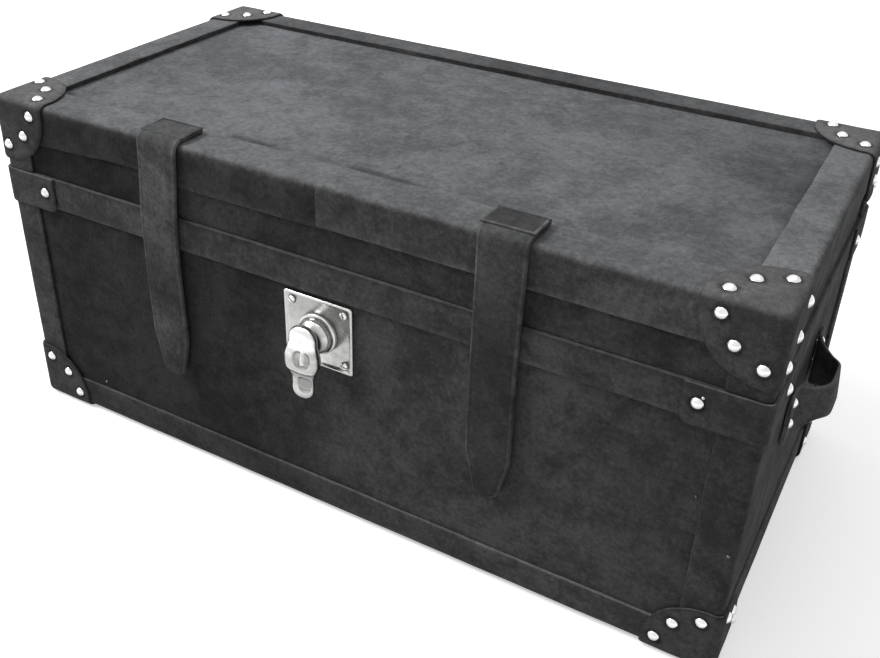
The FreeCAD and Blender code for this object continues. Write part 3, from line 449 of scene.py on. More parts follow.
def along_edge(way, level, fold=-1):
    """The lay of a strip on one side's edge. It is folded down from the level, or up with a fold of 1."""
    side = -1 if way in ("front", "left") else 1
    if way in ("front", "back"):
        return lambda inward, down, along: (along, side * (bind_y - inward), level + fold * down)
    return lambda inward, down, along: (side * (bind_x - inward), along, level + fold * down)


def foot_tone(along, down):
    """The long foot strips are darker on the left."""
    return -0.38 + 0.66 * eased(along, -0.10, 0.34)


# The body's bindings: round its foot, up its four corners and over its rim
foot_low, foot_high, foot_width, bend = 0.0025, 0.0375, 0.036, 0.007
long_end, short_end = 0.390, 0.192
foot = fresh_mesh()
foot_section = folded_section(foot_width, foot_high - foot_low, strip_thickness, strip_thickness, bend)
for long_side, short_side in (("front", "left"), ("back", "right")):
    folded_strip(foot, foot_section, -long_end, long_end, along_edge(long_side, foot_low, 1),
                 tone=foot_tone, rub_share=0.5)
    folded_strip(foot, foot_section, -short_end, short_end, along_edge(short_side, foot_low, 1))
built("foot_strips", foot, binding, "body", "binding_leather", "base_bindings")

corner_width = 0.036
# shade and rubbed share by side and end
CORNER_WEAR = {(-1, -1): (-0.18, 0.8), (1, -1): (-0.16, 0.25), (-1, 1): (0.0, 0.7), (1, 1): (0.0, 0.7)}


def corner_strips(name, node, body):
    """Upright strips round a box's four corners. The front ones are darker, the left one more rubbed."""
    low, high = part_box(node)
    strips = fresh_mesh()
    section = folded_section(corner_width, corner_width, strip_thickness, strip_thickness, bend)
    for side in (-1, 1):
        for end in (-1, 1):
            def upright(inward, down, along):
                return side * (bind_x - inward), end * (bind_y - down), along

            shade, rub_share = CORNER_WEAR[side, end]
            folded_strip(strips, section, low.z, high.z, upright, tone=lambda along, down: shade,
                         rub_share=rub_share)
    built(name, strips, binding, body, "binding_leather", node)


def rim_tone(along, down):
    """The rim is darker along its fold."""
    return -0.06 - 0.34 * math.exp(-(down / 0.003) ** 2)


corner_strips("body_corner_strips", "body_corner_bindings", "body")
rim_bend, rim_long_end, rim_short_end = 0.0015, 0.394, 0.190
for way in ("front", "back", "left", "right"):
    low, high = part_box(f"rim_{way}_binding")
    across, end = high.x - low.x, rim_short_end
    if way in ("front", "back"):
        across, end = high.y - low.y, rim_long_end
    section = folded_section(across, high.z - low.z, strip_thickness, strip_thickness, rim_bend)
    rim = fresh_mesh()
    folded_strip(rim, section, -end, end, along_edge(way, high.z), tone=rim_tone)
    built(f"rim_{way}_strip", rim, binding, "body", "binding_leather", f"rim_{way}_binding")


# The lid's bindings: over its top edges, thick on the top, and round its corners below them.
# The front one is made of two lengths that overlap near the middle, and is cut narrower by the left strap.
# On the top the back one is darker and the right one is paler near the front.
lid_rise, lap, lap_under, lap_lift, lap_run = 0.006, -0.0045, 0.018, 0.0009, 0.05


def on_top(down):
    """1 on a strip's flat top, 0 below its fold."""
    return 1 - eased(down, 0.0, bend)


def left_length_tone(along, down):
    """The front's left length is dark, most of all by the left corner and by the overlap."""
    return min(1.0, down / 0.009) * (-0.58 + 0.16 * eased(along, -0.16, -0.13)
                                     - 0.22 * eased(along, lap - 0.026, lap - 0.004))


def right_length_tone(along, down):
    """The front's right length grows paler to the right."""
    return min(1.0, down / 0.012) * (-0.04 + 0.14 * eased(along, 0.02, 0.10)
                                     + 0.24 * eased(along, 0.15, 0.33))


TOP_TONES = {
    "back": lambda along, down: on_top(down) * (-0.28 - 0.20 * math.exp(-((along - 0.08) / 0.14) ** 2)),
    "right": lambda along, down: on_top(down) * (0.08 + 0.28 * eased(-along, 0.05, 0.10))}
corner_strips("lid_corner_strips", "lid_corner_bindings", "lid")
for way in ("front", "back", "left", "right"):
    low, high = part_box(f"lid_{way}_binding")
    across, end = high.x - low.x, short_end
    if way in ("front", "back"):
        across, end = high.y - low.y, long_end
    section = folded_section(across, high.z - low.z, lid_rise, strip_thickness, bend)
    edge = fresh_mesh()
    if way == "front":
        def left_length(inward, down, along):
            cut = 0.035 - 0.15 * eased(along, -0.37, -0.205) * (1 - eased(along, -0.205, -0.178))
            return along, inward - bind_y, high.z - down * (1 + cut)

        def right_length(inward, down, along):
            lift = lap_lift * max(0.0, 1 - (along - lap) / lap_run)
            return along, inward - bind_y - lift, high.z - down + lift

        folded_strip(edge, section, -end, lap + lap_under, left_length, step=0.004, tone=left_length_tone)
        folded_strip(edge, section, lap, end, right_length, tone=right_length_tone)
    else:
        folded_strip(edge, section, -end, end, along_edge(way, high.z), tone=TOP_TONES.get(way))
    built(f"lid_{way}_strip", edge, binding, "lid", "binding_leather", f"lid_{way}_binding")


# Corner caps and rim patches: stiff black leather, cut with rounded lobes, wetted, pressed over
# the corner and riveted. The leather is dished under each rivet, with grime and painted shadow round its
# head, and its cut edge is dark, with painted shade along it.
capping = leather("cap_leather", (0.0315, 0.0315, 0.032, 1), (0.0585, 0.0585, 0.0595, 1),
                  (0.096, 0.096, 0.099, 1), (0.144, 0.144, 0.148, 1), (0.11, 0.11, 0.11, 1),
                  (7.3, 2.9, 5.5))
cap_x, cap_y, cap_thickness, cap_bend = 0.4000, 0.2015, 0.0025, 0.0095
# the dish under a rivet, grime and painted shadow round its head, and the dark cut edge, with painted shade,
# from that share of a lobe
dish_depth, dish_reach = 0.0006, 0.0075
rivet_grime_and_shadow, rivet_shadow_ring, rivet_shadow_width = 0.55, 0.006, 0.0022
edge_start, edge_drop, edge_dark_and_shade, darkest = 0.955, 0.0008, 0.30, -0.8


def lobe_reach(across, down, width, height, corner):
    """How far a point of a lobe's square moves in, so that the lobe's far corner is round."""
    longest = max(across, down)
    if longest < 1e-9:
        return 1.0
    edge = Vector((width * across / longest, height * down / longest))
    middle = Vector((width - corner, height - corner))
    if edge.x <= middle.x or edge.y <= middle.y:
        return 1.0
    inner = edge.dot(middle)
    spare = inner ** 2 - edge.length_squared * (middle.length_squared - corner ** 2)
    return (inner + math.sqrt(max(0.0, spare))) / edge.length_squared


def capped(cap_mesh, lobes, width, height, corner, set_out, rivets, steps, shade=0.0, cut_above=False):
    """Lobes pressed over a rounded corner. A lobe turns (across, down) into depths from the three planes,
    and set_out turns depths into a place. A patch is cut off above, where a cap goes on over the edge."""
    def pressed(lobe, across, down, inside):
        """One point of a lobe's outer or inner sheet."""
        far = max(across, down)
        trimmed = 0.010 * far * min(1.0, 4 * across * down) * waver(lobe(across, down), 0.25, 3)
        reach = lobe_reach(across, down, width, height, corner) * (1 + trimmed)
        flat = (width * across * reach, height * down * reach)
        depths = Vector(lobe(*flat))
        core = Vector([max(depth, cap_bend) for depth in depths])
        out = (core - depths).normalized()
        bend_share = 1 - max(abs(part) for part in out)
        rise = 0.00025 * waver(set_out(depths), 0.022, 6)
        tone = shade * max(abs(out.x), abs(out.y))
        for rivet in rivets:
            gap = math.dist(flat, rivet)
            rise -= dish_depth * math.exp(-(gap / dish_reach) ** 2)
            # painted shadow, with some grime, in a ring round the rivet's head
            tone -= rivet_grime_and_shadow * math.exp(-((gap - rivet_shadow_ring) / rivet_shadow_width) ** 2)
        rim = max(0.0, (far - edge_start) / (1 - edge_start))
        rise = -cap_thickness if inside else rise - edge_drop * rim ** 2
        rub = min(1.0, 1.3 * bend_share) * (0.5 + 0.5 * waver(set_out(depths), 0.02, 8))
        # the cut edge is dark, with painted shade along it
        tone = max(darkest, tone - edge_dark_and_shade * rim)
        return spot(cap_mesh, set_out(core - out * (cap_bend + rise)), rub, tone)

    for lobe in lobes:
        outer, inner = [[[pressed(lobe, column / steps, row / steps, inside) for column in range(steps + 1)]
                         for row in range(steps + 1)] for inside in (False, True)]
        netted(cap_mesh, outer)
        netted(cap_mesh, inner)
        for step in range(steps):
            cut_edges = [((steps, step), (steps, step + 1)), ((step, steps), (step + 1, steps))]
            if cut_above:
                cut_edges.append(((0, step), (0, step + 1)))
            for (row, column), (next_row, next_column) in cut_edges:
                cap_mesh.faces.new((outer[row][column], outer[next_row][next_column],
                                    inner[next_row][next_column], inner[row][column]))
    bmesh.ops.remove_doubles(cap_mesh, verts=cap_mesh.verts, dist=1e-6)


THREE_LOBES = (lambda across, down: (across, down, 0.0), lambda across, down: (across, 0.0, down),
               lambda across, down: (0.0, across, down))
cap_size, cap_round, cap_steps, cap_shade, paler_shade = 0.068, 0.056, 34, -0.06, 0.22
for height, plane, way, body, near, middle, far in (("lid", 0.368, 1, "lid", 0.0145, 0.038, 0.0515),
                                                    ("base", 0.0, -1, "body", 0.0185, 0.042, 0.0555)):
    for end, front in (("front", -1), ("back", 1)):
        for hand, side in (("left", -1), ("right", 1)):
            cap_mesh = fresh_mesh()
            capped(cap_mesh, THREE_LOBES, cap_size, cap_size, cap_round,
                   lambda depths: Vector((side * (cap_x - depths[0]), front * (cap_y - depths[1]),
                                          plane - way * depths[2])),
                   ((near, far), (middle, middle), (far, near)), cap_steps,
                   paler_shade if (height, end, hand) == ("lid", "front", "right") else cap_shade)
            built(f"{height}_corner_{end}_{hand}", cap_mesh, capping, body, "cap_leather",
                  f"{height}_cap_{end}_{hand}")

TWO_LOBES = (lambda across, down: (across, 0.0, cap_bend + down),
             lambda across, down: (0.0, across, cap_bend + down))
patch_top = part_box("rim_corner_patches")[1].z
patch_width, patch_height, patch_round, patch_steps, patch_rivet = 0.069, 0.038, 0.010, 30, (0.056, 0.017)
patch_mesh = fresh_mesh()
for front in (-1, 1):
    for side in (-1, 1):
        capped(patch_mesh, TWO_LOBES, patch_width, patch_height, patch_round,
               lambda depths: Vector((side * (cap_x - depths[0]), front * (cap_y - depths[1]),
                                      patch_top - (depths[2] - cap_bend))),
               (patch_rivet,), patch_steps, cut_above=True)
built("rim_patches", patch_mesh, capping, "body", "cap_leather", "rim_corner_patches")


# Rivets: domed heads of nickel-plated steel, driven through the caps, patches and handle ends and
# clenched behind. They are bright, with fine scratches, and painted darker on the faces that look down, as
# shade.
def plated(name, bright, dull, smooth, rough, scratch, under=1.0):
    """Bright metal, a little uneven, with fine scratches. A point's tone darkens or brightens it: a dull
    finish, and painted shade and highlights. Faces that look down are painted darker, as shade, by the under
    share."""
    finish, tree, shader, where = fresh_finish(name)
    brushed = add(tree, "Mapping", {"Vector": where["Object"], "Scale": scratch})["Vector"]
    lines, cloud = clouded(tree, brushed, 1.0, 4.0, 0.7), clouded(tree, where["Object"], 130.0, 4.0)
    colour = mixed(tree, spread(tree, cloud, 0.4, 0.75), bright, dull)
    tone = add(tree, "Attribute", {}, attribute_name="tone")["Fac"]
    facing = add(tree, "SeparateXYZ", {"Vector": where["Normal"]})["Z"]
    # painted shade: faces that look down are darker
    underside_shade = spread(tree, facing, -0.75, 0.45, under, 1.0)
    tone_and_underside_shade = reckoned(tree, "MULTIPLY_ADD", tone, underside_shade, underside_shade)
    tree.links.new(add(tree, "VectorMath", {0: colour, "Scale": tone_and_underside_shade}, operation="SCALE")[0],
                   shader.inputs["Base Color"])
    wear = reckoned(tree, "MULTIPLY", lines, cloud)
    tree.links.new(spread(tree, wear, 0.1, 0.45, smooth, rough), shader.inputs["Roughness"])
    shader.inputs["Metallic"].default_value = 1.0
    bumped(tree, shader, lines, 0.25, 0.0001)
    return finish


nickel = plated("rivet_nickel", (0.84, 0.84, 0.83, 1), (0.70, 0.70, 0.69, 1), 0.16, 0.34,
                (900.0, 300.0, 900.0), 0.42)
finish_node(nickel, "lid_cap_rivets", "base_cap_rivets", "rim_patch_rivets", "handle_rivets")


def turned(mesh_work, foot, profile, around):
    """A piece turned about an axis that leads out of the front: (radius, out, tone) from foot to top."""
    skinned(mesh_work, [[spot(mesh_work, (foot[0] + radius * math.cos(turn), foot[1] - out,
                                          foot[2] + radius * math.sin(turn)), 0.0, tone)
                         for turn in [2 * math.pi * step / around for step in range(around)]]
                        for radius, out, tone in profile])


# four small dull tacks on the front, where the leather was held down while the glue set
TACKS = ((0.3477, -0.2013, 0.278, -0.45), (-0.304, -0.1957, 0.0445, -0.85),
         (0.356, -0.1957, 0.180, -0.93), (0.3905, -0.1988, 0.135, -0.85))
tack_radius, tack_rise, tack_around = 0.0015, 0.0010, 12
tacks = fresh_mesh()
for x, y, z, tone in TACKS:
    turned(tacks, (x, y, z), [(tack_radius * math.cos(rise), tack_rise * math.sin(rise), tone)
                              for rise in (0.0, 0.45, 0.9, 1.3)], tack_around)
built("front_tacks", tacks, nickel, "body", "rivet_nickel")


# Carrying handles: a band of strap leather on each end of the body, bent out like a low bridge.
# Its two ends lie flat on the leather and are held by two rivets each.
handle_leather = leather("handle_leather", (0.038, 0.038, 0.0385, 1), (0.073, 0.073, 0.074, 1),
                         (0.060, 0.061, 0.063, 1), (0.095, 0.097, 0.099, 1), (0.15, 0.15, 0.15, 1),
                         (11.2, 4.7, 8.1))


def band_section(width, thick):
    """A flat band's section as (across, out, rub): its face with a crease near each edge, then its back."""
    half, soft = width / 2, thick * 0.3
    face = [(-half, -soft, 0.7), (-half + 0.0007, 0.0, 0.8), (-half + 0.0022, 0.0003, 0.35),
            (-half + 0.0036, -0.0002, 0.0), (-half + 0.0050, 0.0003, 0.05), (-half * 0.5, 0.0004, 0.0),
            (0.0, 0.0004, 0.0)]
    face += [(-across, out, rub) for across, out, rub in face[-2::-1]]
    back = [(half, soft - thick, 0.4), (half - 0.0012, -thick, 0.2), (0.0, -thick, 0.0),
            (-half + 0.0012, -thick, 0.2), (-half, soft - thick, 0.4)]
    return face + back


def band(band_mesh, line, width, thick, tone, rub_share=1.0):
    """A band along a line of (place, outward way, way across, width share). The line runs on the band's
    face, and tone(place) gives its shade."""
    rings = []
    for place, out_way, across_way, share in line:
        ring = []
        for across, out, rub in band_section(width * share, thick):
            at = Vector(place) + Vector(across_way) * across + Vector(out_way) * out
            at += Vector(out_way) * 0.0002 * waver(at, 0.03, 5)
            rubbing = rub_share * rub * (0.6 + 0.6 * waver(at, 0.03, 13))
            ring.append(spot(band_mesh, at, max(0.0, rubbing), tone(at)))
        rings.append(ring)
    skinned(band_mesh, rings)


grip_width, end_width, grip_thickness, lean, sag = 0.035, 0.054, 0.003, 0.10, 0.004
tab_end, tab_start, tab_round, tab_taper, tab_out = 0.070, 0.0455, 0.007, 0.22, 0.004
crown_end, crown_skin, widen_from, widen_run, corner_steps = 0.0195, 0.0002, 0.027, 0.018, 12
for hand, side in (("left", -1), ("right", 1)):
    low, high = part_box(hand + "_handle")
    tab_face = min(abs(low.x), abs(high.x)) + tab_out
    crown_face = max(abs(low.x), abs(high.x)) - crown_skin
    handle_up = (low.z + high.z) / 2
    corners = [(tab_face, -tab_end), (tab_face, -tab_start), (crown_face, -crown_end),
               (crown_face, crown_end), (tab_face, tab_start), (tab_face, tab_end)]
    outline = [Vector((x0 + (x1 - x0) * step / corner_steps, y0 + (y1 - y0) * step / corner_steps))
               for (x0, y0), (x1, y1) in zip(corners, corners[1:]) for step in range(corner_steps)]
    outline.append(Vector(corners[-1]))
    for _ in range(6):
        outline = [outline[0]] + [(before + 2 * now + after) / 4 for before, now, after
                                  in zip(outline, outline[1:], outline[2:])] + [outline[-1]]
    line = []
    for number, now in enumerate(outline):
        run = outline[min(number + 1, len(outline) - 1)] - outline[max(number - 1, 0)]
        out_way = Vector((side * run.y, -run.x, 0)).normalized()
        crown = (now.x - tab_face) / (crown_face - tab_face)
        wide = min(1.0, max(0.0, (abs(now.y) - widen_from) / widen_run)) ** 1.5
        corner = max(0.0, (abs(now.y) - tab_end + tab_round) / tab_round)
        share = 1 + (end_width / grip_width - 1) * wide
        share *= 1 - tab_taper * (1 - math.sqrt(max(0.0, 1 - corner ** 2)))
        line.append(((side * now.x, now.y, handle_up - sag * (1 - crown)), out_way,
                     (-side * lean * crown, 0, 1), share))
    handle_mesh = fresh_mesh()
    band(handle_mesh, line, grip_width, grip_thickness, lambda at: 0.34 + 0.25 * waver(at, 0.05, 17))
    built(hand + "_carrying_handle", handle_mesh, handle_leather, "body", "strap_leather", hand + "_handle")


# Turn lock: a chromed plate held by four screws, a round boss on it, and a pear-shaped lever with a
# tongue that hangs down. A spindle leads through to the hook cam inside.
chrome = plated("lock_chrome", (0.56, 0.56, 0.55, 1), (0.48, 0.48, 0.47, 1), 0.20, 0.34,
                (60.0, 700.0, 700.0), 0.42)
axis = Vector((-0.007, 0.0, 0.2135))

low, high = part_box("lock_plate")
plate_front, plate_round, corner_points = low.y, 0.003, 6
# from the plate's foot over its raised rim to its face: how far in, and how far out of the leather
PLATE_RIM = ((0.0, 0.0), (0.0, 0.0020), (0.0006, 0.0026), (0.0028, 0.0026), (0.0036, 0.0020))
plate_mesh = fresh_mesh()
rings = []
for inset, rise in PLATE_RIM:
    ring = []
    for quarter, (way_x, way_z) in enumerate(((1, 1), (-1, 1), (-1, -1), (1, -1))):
        corner_x, corner_z = high.x if way_x > 0 else low.x, high.z if way_z > 0 else low.z
        reach = plate_round + inset
        middle_x, middle_z = corner_x - way_x * reach, corner_z - way_z * reach
        for step in range(corner_points):
            turn = math.radians(90 * quarter + 18 * step)
            ring.append(spot(plate_mesh, (middle_x + plate_round * math.cos(turn), high.y - rise,
                                          middle_z + plate_round * math.sin(turn))))
    rings.append(ring)
skinned(plate_mesh, rings)
built("lock_face", plate_mesh, chrome, "body", "lock_chrome", "lock_plate")

# the boss: a flange, a neck and a bevel up to the lever; its tones paint shade at the feet of the flange and
# the neck and under the lever, and light on the flange's edge
BOSS_PROFILE = (
    (0.0210, 0.0001, -0.75), (0.0210, 0.0008, -0.45), (0.0210, 0.0026, 0.0), (0.0206, 0.0035, 0.15),
    (0.0198, 0.0040, 0.15), (0.0186, 0.0041, -0.25), (0.0178, 0.0043, -0.70), (0.0175, 0.0050, -0.60),
    (0.0175, 0.0066, -0.20), (0.0175, 0.0090, -0.30), (0.0172, 0.0098, -0.05), (0.0165, 0.0108, 0.05),
    (0.0156, 0.0120, -0.05), (0.0145, 0.0134, -0.20), (0.0137, 0.0141, -0.45), (0.0130, 0.0150, -0.65),
    (0.0130, 0.0160, -0.60))
boss_mesh = fresh_mesh()
turned(boss_mesh, (axis.x, plate_front, axis.z), BOSS_PROFILE, 64)
built("lock_neck", boss_mesh, chrome, "body", "lock_chrome", "lock_boss")

# the plate's screws: round heads, each with a slot at its own turn; their tones paint shade at the foot and
# light on the crown
SCREW_PROFILE = (
    (0.0044, 0.0001, -0.85), (0.0041, 0.0006, -0.6), (0.0040, 0.0011, 0.0), (0.0036, 0.0016, 0.4),
    (0.0029, 0.0020, 0.5), (0.0021, 0.0023, 0.4), (0.0012, 0.0024, 0.3), (0.0004, 0.0024, 0.3))
screw_x, screw_z = 0.0285, 0.0275
# the slot is sunk and painted dark, as shade
slot_half, slot_from, slot_depth, slot_shade = 0.0006, 0.0014, 0.0008, -0.75
screw_mesh = fresh_mesh()
tone_layer = screw_mesh.verts.layers.float["tone"]
for side, up, slot_turn in ((-1, 1, 0.9), (1, 1, 0.2), (-1, -1, 2.1), (1, -1, 1.4)):
    made = len(screw_mesh.verts)
    middle = Vector((axis.x + side * screw_x, plate_front, axis.z + up * screw_z))
    across_slot = Vector((math.cos(slot_turn), 0.0, math.sin(slot_turn)))
    turned(screw_mesh, middle, SCREW_PROFILE, 40)
    screw_mesh.verts.ensure_lookup_table()
    for point in screw_mesh.verts[made:]:
        if abs((point.co - middle).dot(across_slot)) < slot_half and point.co.y < plate_front - slot_from:
            point.co.y += slot_depth
            point[tone_layer] = slot_shade
built("plate_screws", screw_mesh, chrome, "body", "lock_chrome", "lock_screws")

# the lever: a dome above, widest below it, then drawn in to the tongue; heights are from the spindle
dome_middle, dome_top, tongue_round, tip = 0.0045, 0.0200, -0.0460, -0.0565
dome_half, head_half, tongue_half = 0.0150, 0.0188, 0.0118
lever_front, lever_back, marks_right = -0.2288, -0.2146, 0.0035
# the last of these paints shade on the lever's sides and back
pocket_depth, tongue_depth, step_height, lever_side_shade = 0.0022, 0.0018, 0.0004, -0.45
lever_rings, lever_around, end_gap = 140, 96, 0.0002


def lever_face(across, up):
    """How far the lever's face is sunk, and its tone: a dome, a hollow with a rib below it, a step and a
    hollow in the tongue. The tone paints a highlight on the dome, the rib and the step, and shade in the
    hollows."""
    aside = across - marks_right

    def hollow(middle, wide, high):
        away = (abs(aside / wide) ** 2.6 + abs((up - middle) / high) ** 2.6) ** (1 / 2.6)
        return 1 - eased(away, 0.70, 1.05)

    pocket, tongue = hollow(-0.0105, 0.0098, 0.0090), hollow(-0.0395, 0.0078, 0.0086)
    rib = (1 - eased(abs(aside - 0.0008), 0.0010, 0.0036)) * eased(up, -0.0180, -0.0150)
    step = math.exp(-((up + 0.0235) / 0.0014) ** 2) - 1.2 * math.exp(-((up + 0.0268) / 0.0016) ** 2)
    walls = 2.0 * pocket * (1 - pocket) * (1 - rib) + 1.6 * tongue * (1 - tongue)
    # painted highlight on the dome, the rib and the step's edge; painted shade in the hollows, on their walls
    # and below the step
    tone = (-0.08 + 0.62 * eased(up, -0.0040, 0.0010) - 0.38 * pocket * (1 - rib) - 0.40 * tongue
            - 0.45 * walls + 0.40 * rib * math.exp(-((up + 0.0135) / 0.0035) ** 2) + 0.40 * step)
    return pocket_depth * pocket * (1 - 0.9 * rib) + tongue_depth * tongue - step_height * step, tone


def bulged(share):
    """A circle's share made a little squarer."""
    return math.copysign(abs(share) ** 0.83, share)


lever_mesh = fresh_mesh()
rings = []
for step in range(lever_rings + 1):
    up = dome_top - end_gap - (dome_top - tip - 2 * end_gap) * step / lever_rings
    over = max(0.0, (up - dome_middle) / (dome_top - dome_middle))
    under = max(0.0, (tongue_round - up) / (tongue_round - tip))
    drawn_in = math.sqrt(1 - over ** 2.3) * math.sqrt(1 - under ** 2.3)
    half = drawn_in * (dome_half + (head_half - dome_half) * eased(-up, -0.004, 0.013)
                       + (tongue_half - head_half) * eased(-up, 0.016, 0.037))
    front = (lever_front - 0.0042 * eased(-up, -0.006, 0.012) + 0.0048 * eased(-up, 0.020, 0.036)
             - 0.0020 * eased(-up, 0.042, 0.056))
    back = lever_back - 0.0050 * eased(-up, 0.014, 0.028)
    middle, depth = (front + back) / 2, (back - front) / 2 * drawn_in ** 0.8
    ring = []
    for point in range(lever_around):
        turn = 2 * math.pi * point / lever_around
        across, out = half * bulged(math.cos(turn)), depth * bulged(math.sin(turn))
        sunk, tone = lever_face(across, up)
        facing = eased(math.sin(turn), 0.10, 0.55)
        ring.append(spot(lever_mesh, (axis.x + across, middle - out + sunk * facing, axis.z + up), 0.0,
                         tone * facing + lever_side_shade * (1 - facing)))
    rings.append(ring)
skinned(lever_mesh, rings)
built("turn_lever", lever_mesh, chrome, "lock", "lock_chrome", "lock_lever")

steel = plated("bright_steel", (0.60, 0.60, 0.59, 1), (0.40, 0.39, 0.37, 1), 0.22, 0.50,
               (80.0, 900.0, 900.0))
finish_node(steel, "lock_nut", "lock_spindle", "lock_cam", "lock_cam_screw")


# Keeper and hinges: pressed steel, brushed. The keeper's peg takes the hook inside the lid, and three
# butt hinges with loose leaves are screwed on the back.
finish_node(steel, "lid_keeper", "keeper_screws", "hinge_lid_leaves", "hinge_lid_screws",
            "hinge_body_leaves", "hinge_pins", "hinge_body_screws")


# Straps: two bands of strap leather, sewn on the lid's front edge, that hang down over the front.
# Their ends are tapered and rounded; the left one is rubbed paler than the right one, and also painted paler
# as lit from the left.
strap_width, strap_thickness, strap_bend, strap_sharp = 0.045, 0.0046, 0.012, 60
strap_start, lid_face, front_face, strap_tip = -0.163, 0.3705, -0.2040, 0.104
flat_steps, bend_steps, drop_steps, taper, tip_round = 8, 8, 90, 0.046, 0.007
patch_half, patch_deep, patch_back, patch_rim, patch_thickness = 0.0242, 0.031, 0.0004, 0.0016, 0.0012
# the left strap's paler colours stand for rubbing and for painted light from the left
STRAP_SHADES_RUBBED_AND_LIT = {"left": ((0.038, 0.038, 0.0385, 1), (0.080, 0.080, 0.082, 1)),
          "right": ((0.029, 0.029, 0.0295, 1), (0.049, 0.049, 0.050, 1))}
STRAP_MOTTLE = ((0.22, 0.05, 17), (0.14, 0.016, 19))
for hand, middle, slant, rub_share in (("left", -0.188, 0.008, 1.0), ("right", 0.174, 0.001, 0.8)):
    strap_leather = leather(hand + "_strap_leather", *STRAP_SHADES_RUBBED_AND_LIT[hand], (0.046, 0.047, 0.048, 1),
                            (0.070, 0.071, 0.073, 1), (0.15, 0.15, 0.15, 1), (13.7 * middle, 6.1, 2.2))
    # the strap's run as (y and z, outward way, width share): on the lid, over its edge and down the front
    bend_y, bend_z = front_face + strap_bend, lid_face - strap_bend
    run = [((strap_start - (strap_start - bend_y) * step / flat_steps, lid_face), (0, 0, 1), 1.04)
           for step in range(flat_steps + 1)]
    for step in range(1, bend_steps + 1):
        turn = math.radians(90 * step / bend_steps)
        run.append(((bend_y - strap_bend * math.sin(turn), bend_z + strap_bend * math.cos(turn)),
                    (0, -math.sin(turn), math.cos(turn)), 1.04 - 0.03 * step / bend_steps))
    for step in range(1, drop_steps + 1):
        up = bend_z - (bend_z - strap_tip) * step / drop_steps
        left = up - strap_tip
        share = 1.0 - 0.03 * math.sin(math.pi * step / drop_steps)
        if left < taper:
            share *= 0.53 + 0.47 * left / taper
        if left < tip_round:
            share *= 0.45 + 0.55 * math.sqrt(max(0.0, 1 - (1 - left / tip_round) ** 2))
        run.append(((front_face - 0.0008 * waver((middle, 0, up), 0.09), up), (0, -1, 0), share))
    line = []
    for (y, z), out_way, share in run:
        x = middle + 0.0012 * waver((middle, 0, z), 0.11, 3) + slant * eased(z, 0.27, 0.372)
        line.append(((x, y, z), out_way, (1, 0, 0), share))

    def strap_tone(at):
        tone = uneven(at, STRAP_MOTTLE)
        if hand == "left":
            return tone - 0.24 + 0.62 * eased(at.z, 0.27, 0.36)
        return tone - 0.22 + 0.22 * eased(at.z, 0.15, 0.26) + 0.20 * eased(at.z, 0.28, 0.36)

    strap_mesh = fresh_mesh()
    band(strap_mesh, line, strap_width, strap_thickness, strap_tone, rub_share)
    strap = meshed(hand + "_hanging_strap", strap_mesh, strap_leather, strap_sharp)
    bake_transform(strap, "lid", hand + "_tail", start=(middle, -0.2017, 0.334), end=(middle, -0.2017, 0.312))
    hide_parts(hand + "_strap", hand + "_strap_tail")

    # the patch sewn over the strap's end on the lid: the right one has a raised, rubbed rim
    def patch_face(u, v):
        x = middle + slant + patch_half * (2 * u - 1)
        y = strap_start - patch_back - patch_deep * (1 - v)
        edge = min(min(u, 1 - u) * 2 * patch_half, min(v, 1 - v) * patch_deep)
        rim = math.exp(-((edge - patch_rim) / patch_rim) ** 2)
        wobble = waver((x, y, 0.3), 0.013, 23)
        back = eased(v, 0.84, 0.97)
        if hand == "right":
            return ((x, y, lid_face + 0.0008 + 0.0014 * rim + 0.0002 * wobble),
                    rim * (0.85 + 0.15 * wobble) * (1 - back), 0.05 - 0.45 * back - 0.20 * (1 - rim))
        settled = eased(v, 0.0, 0.5)
        return ((x, y, lid_face + 0.0003 + 0.0006 * settled + 0.0004 * wobble), 0.10 * (1 - rim),
                0.40 * wobble + 0.15 - 0.6 * rim * settled * max(u, v))

    patch_sheet = fresh_mesh()
    laid_sheet(patch_sheet, patch_face, 48, 32, (0, 0, -patch_thickness))
    built(hand + "_strap_patch", patch_sheet, strap_leather, "lid", "strap_leather")


# Floor, light and background: a plain pale floor, one large soft lamp high on the left, a weaker one
# overhead, and a white surround that only the eye and the bright metal see.
def seen_rays(tree):
    """1 for rays from the eye, from bright metal and through clear pieces, 0 for the light they gather."""
    path = add(tree, "LightPath", {})
    seen = reckoned(tree, "MAXIMUM", path["Is Camera Ray"], path["Is Glossy Ray"])
    return reckoned(tree, "MAXIMUM", seen, path["Is Transmission Ray"])


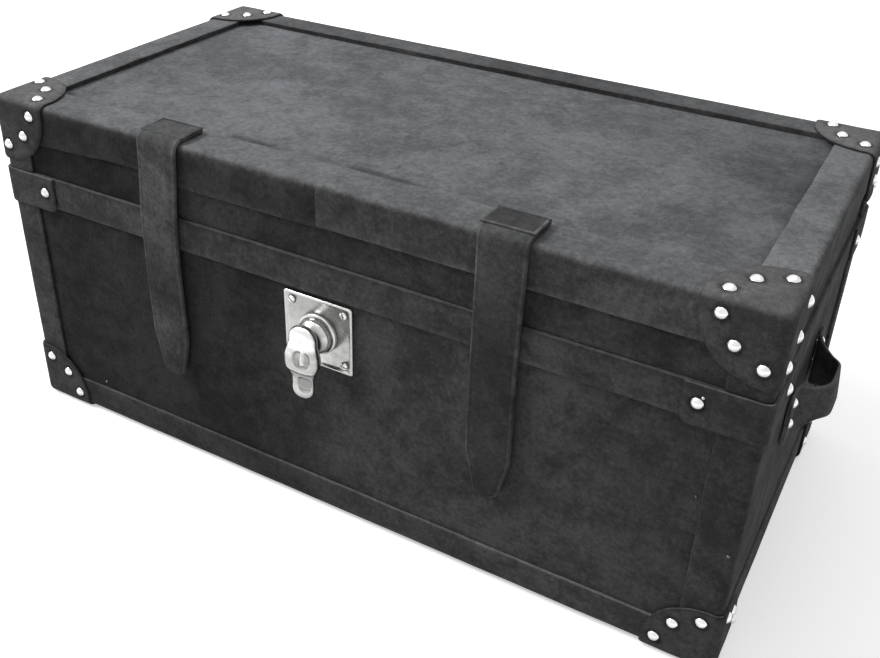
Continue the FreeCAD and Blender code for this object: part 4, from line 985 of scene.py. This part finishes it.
floor_mesh = bpy.data.meshes.new("floor")
floor_mesh.from_pydata([(-6, -6, 0), (6, -6, 0), (6, 6, 0), (-6, 6, 0)], [], [(0, 1, 2, 3)])
floor = bpy.data.objects.new("floor", floor_mesh)
bpy.context.scene.collection.objects.link(floor)
floor_finish, tree, shader, where = fresh_finish("pale_floor")
paper = clouded(tree, where["Object"], 3.0, 3.0)
pale = mixed(tree, paper, (0.84, 0.84, 0.84, 1), (0.88, 0.88, 0.88, 1))
tree.links.new(pale, shader.inputs["Base Color"])
shader.inputs["Roughness"].default_value = 0.9
away = add(tree, "VectorMath", {0: where["Object"]}, operation="LENGTH")["Value"]
whiter = spread(tree, away, 0.6, 2.4, 0.46, 1.0)
tree.links.new(reckoned(tree, "MULTIPLY", seen_rays(tree), whiter), shader.inputs["Emission Strength"])
shader.inputs["Emission Color"].default_value = (1, 1, 1, 1)
floor_mesh.materials.append(floor_finish)


def lamp(name, place, aim, size, power):
    """A square soft lamp that looks at a point."""
    light = bpy.data.lights.new(name, "AREA")
    light.shape = "SQUARE"
    light.size = size
    light.energy = power
    made = bpy.data.objects.new(name, light)
    made.location = place
    made.rotation_euler = (Vector(aim) - Vector(place)).to_track_quat("-Z", "Y").to_euler()
    bpy.context.scene.collection.objects.link(made)


lamp("window_left", (-1.9, -1.0, 2.3), (0, 0, 0.2), 1.3, 75.0)
lamp("ceiling", (0.3, 0.2, 2.8), (0, 0, 0.3), 2.2, 25.0)

world = bpy.data.worlds.new("white_surround")
bpy.context.scene.world = world
world.use_nodes = True
tree = world.node_tree
tree.nodes.clear()
dim = add(tree, "Background", {"Color": (1.0, 1.0, 1.0, 1), "Strength": 0.32})["Background"]
white = add(tree, "Background", {"Color": (1.0, 1.0, 1.0, 1), "Strength": 1.0})["Background"]
surround = add(tree, "MixShader", {0: seen_rays(tree), 1: dim, 2: white})[0]
tree.links.new(surround, tree.nodes.new("ShaderNodeOutputWorld").inputs["Surface"])
bpy.context.scene.view_settings.view_transform = "Standard"
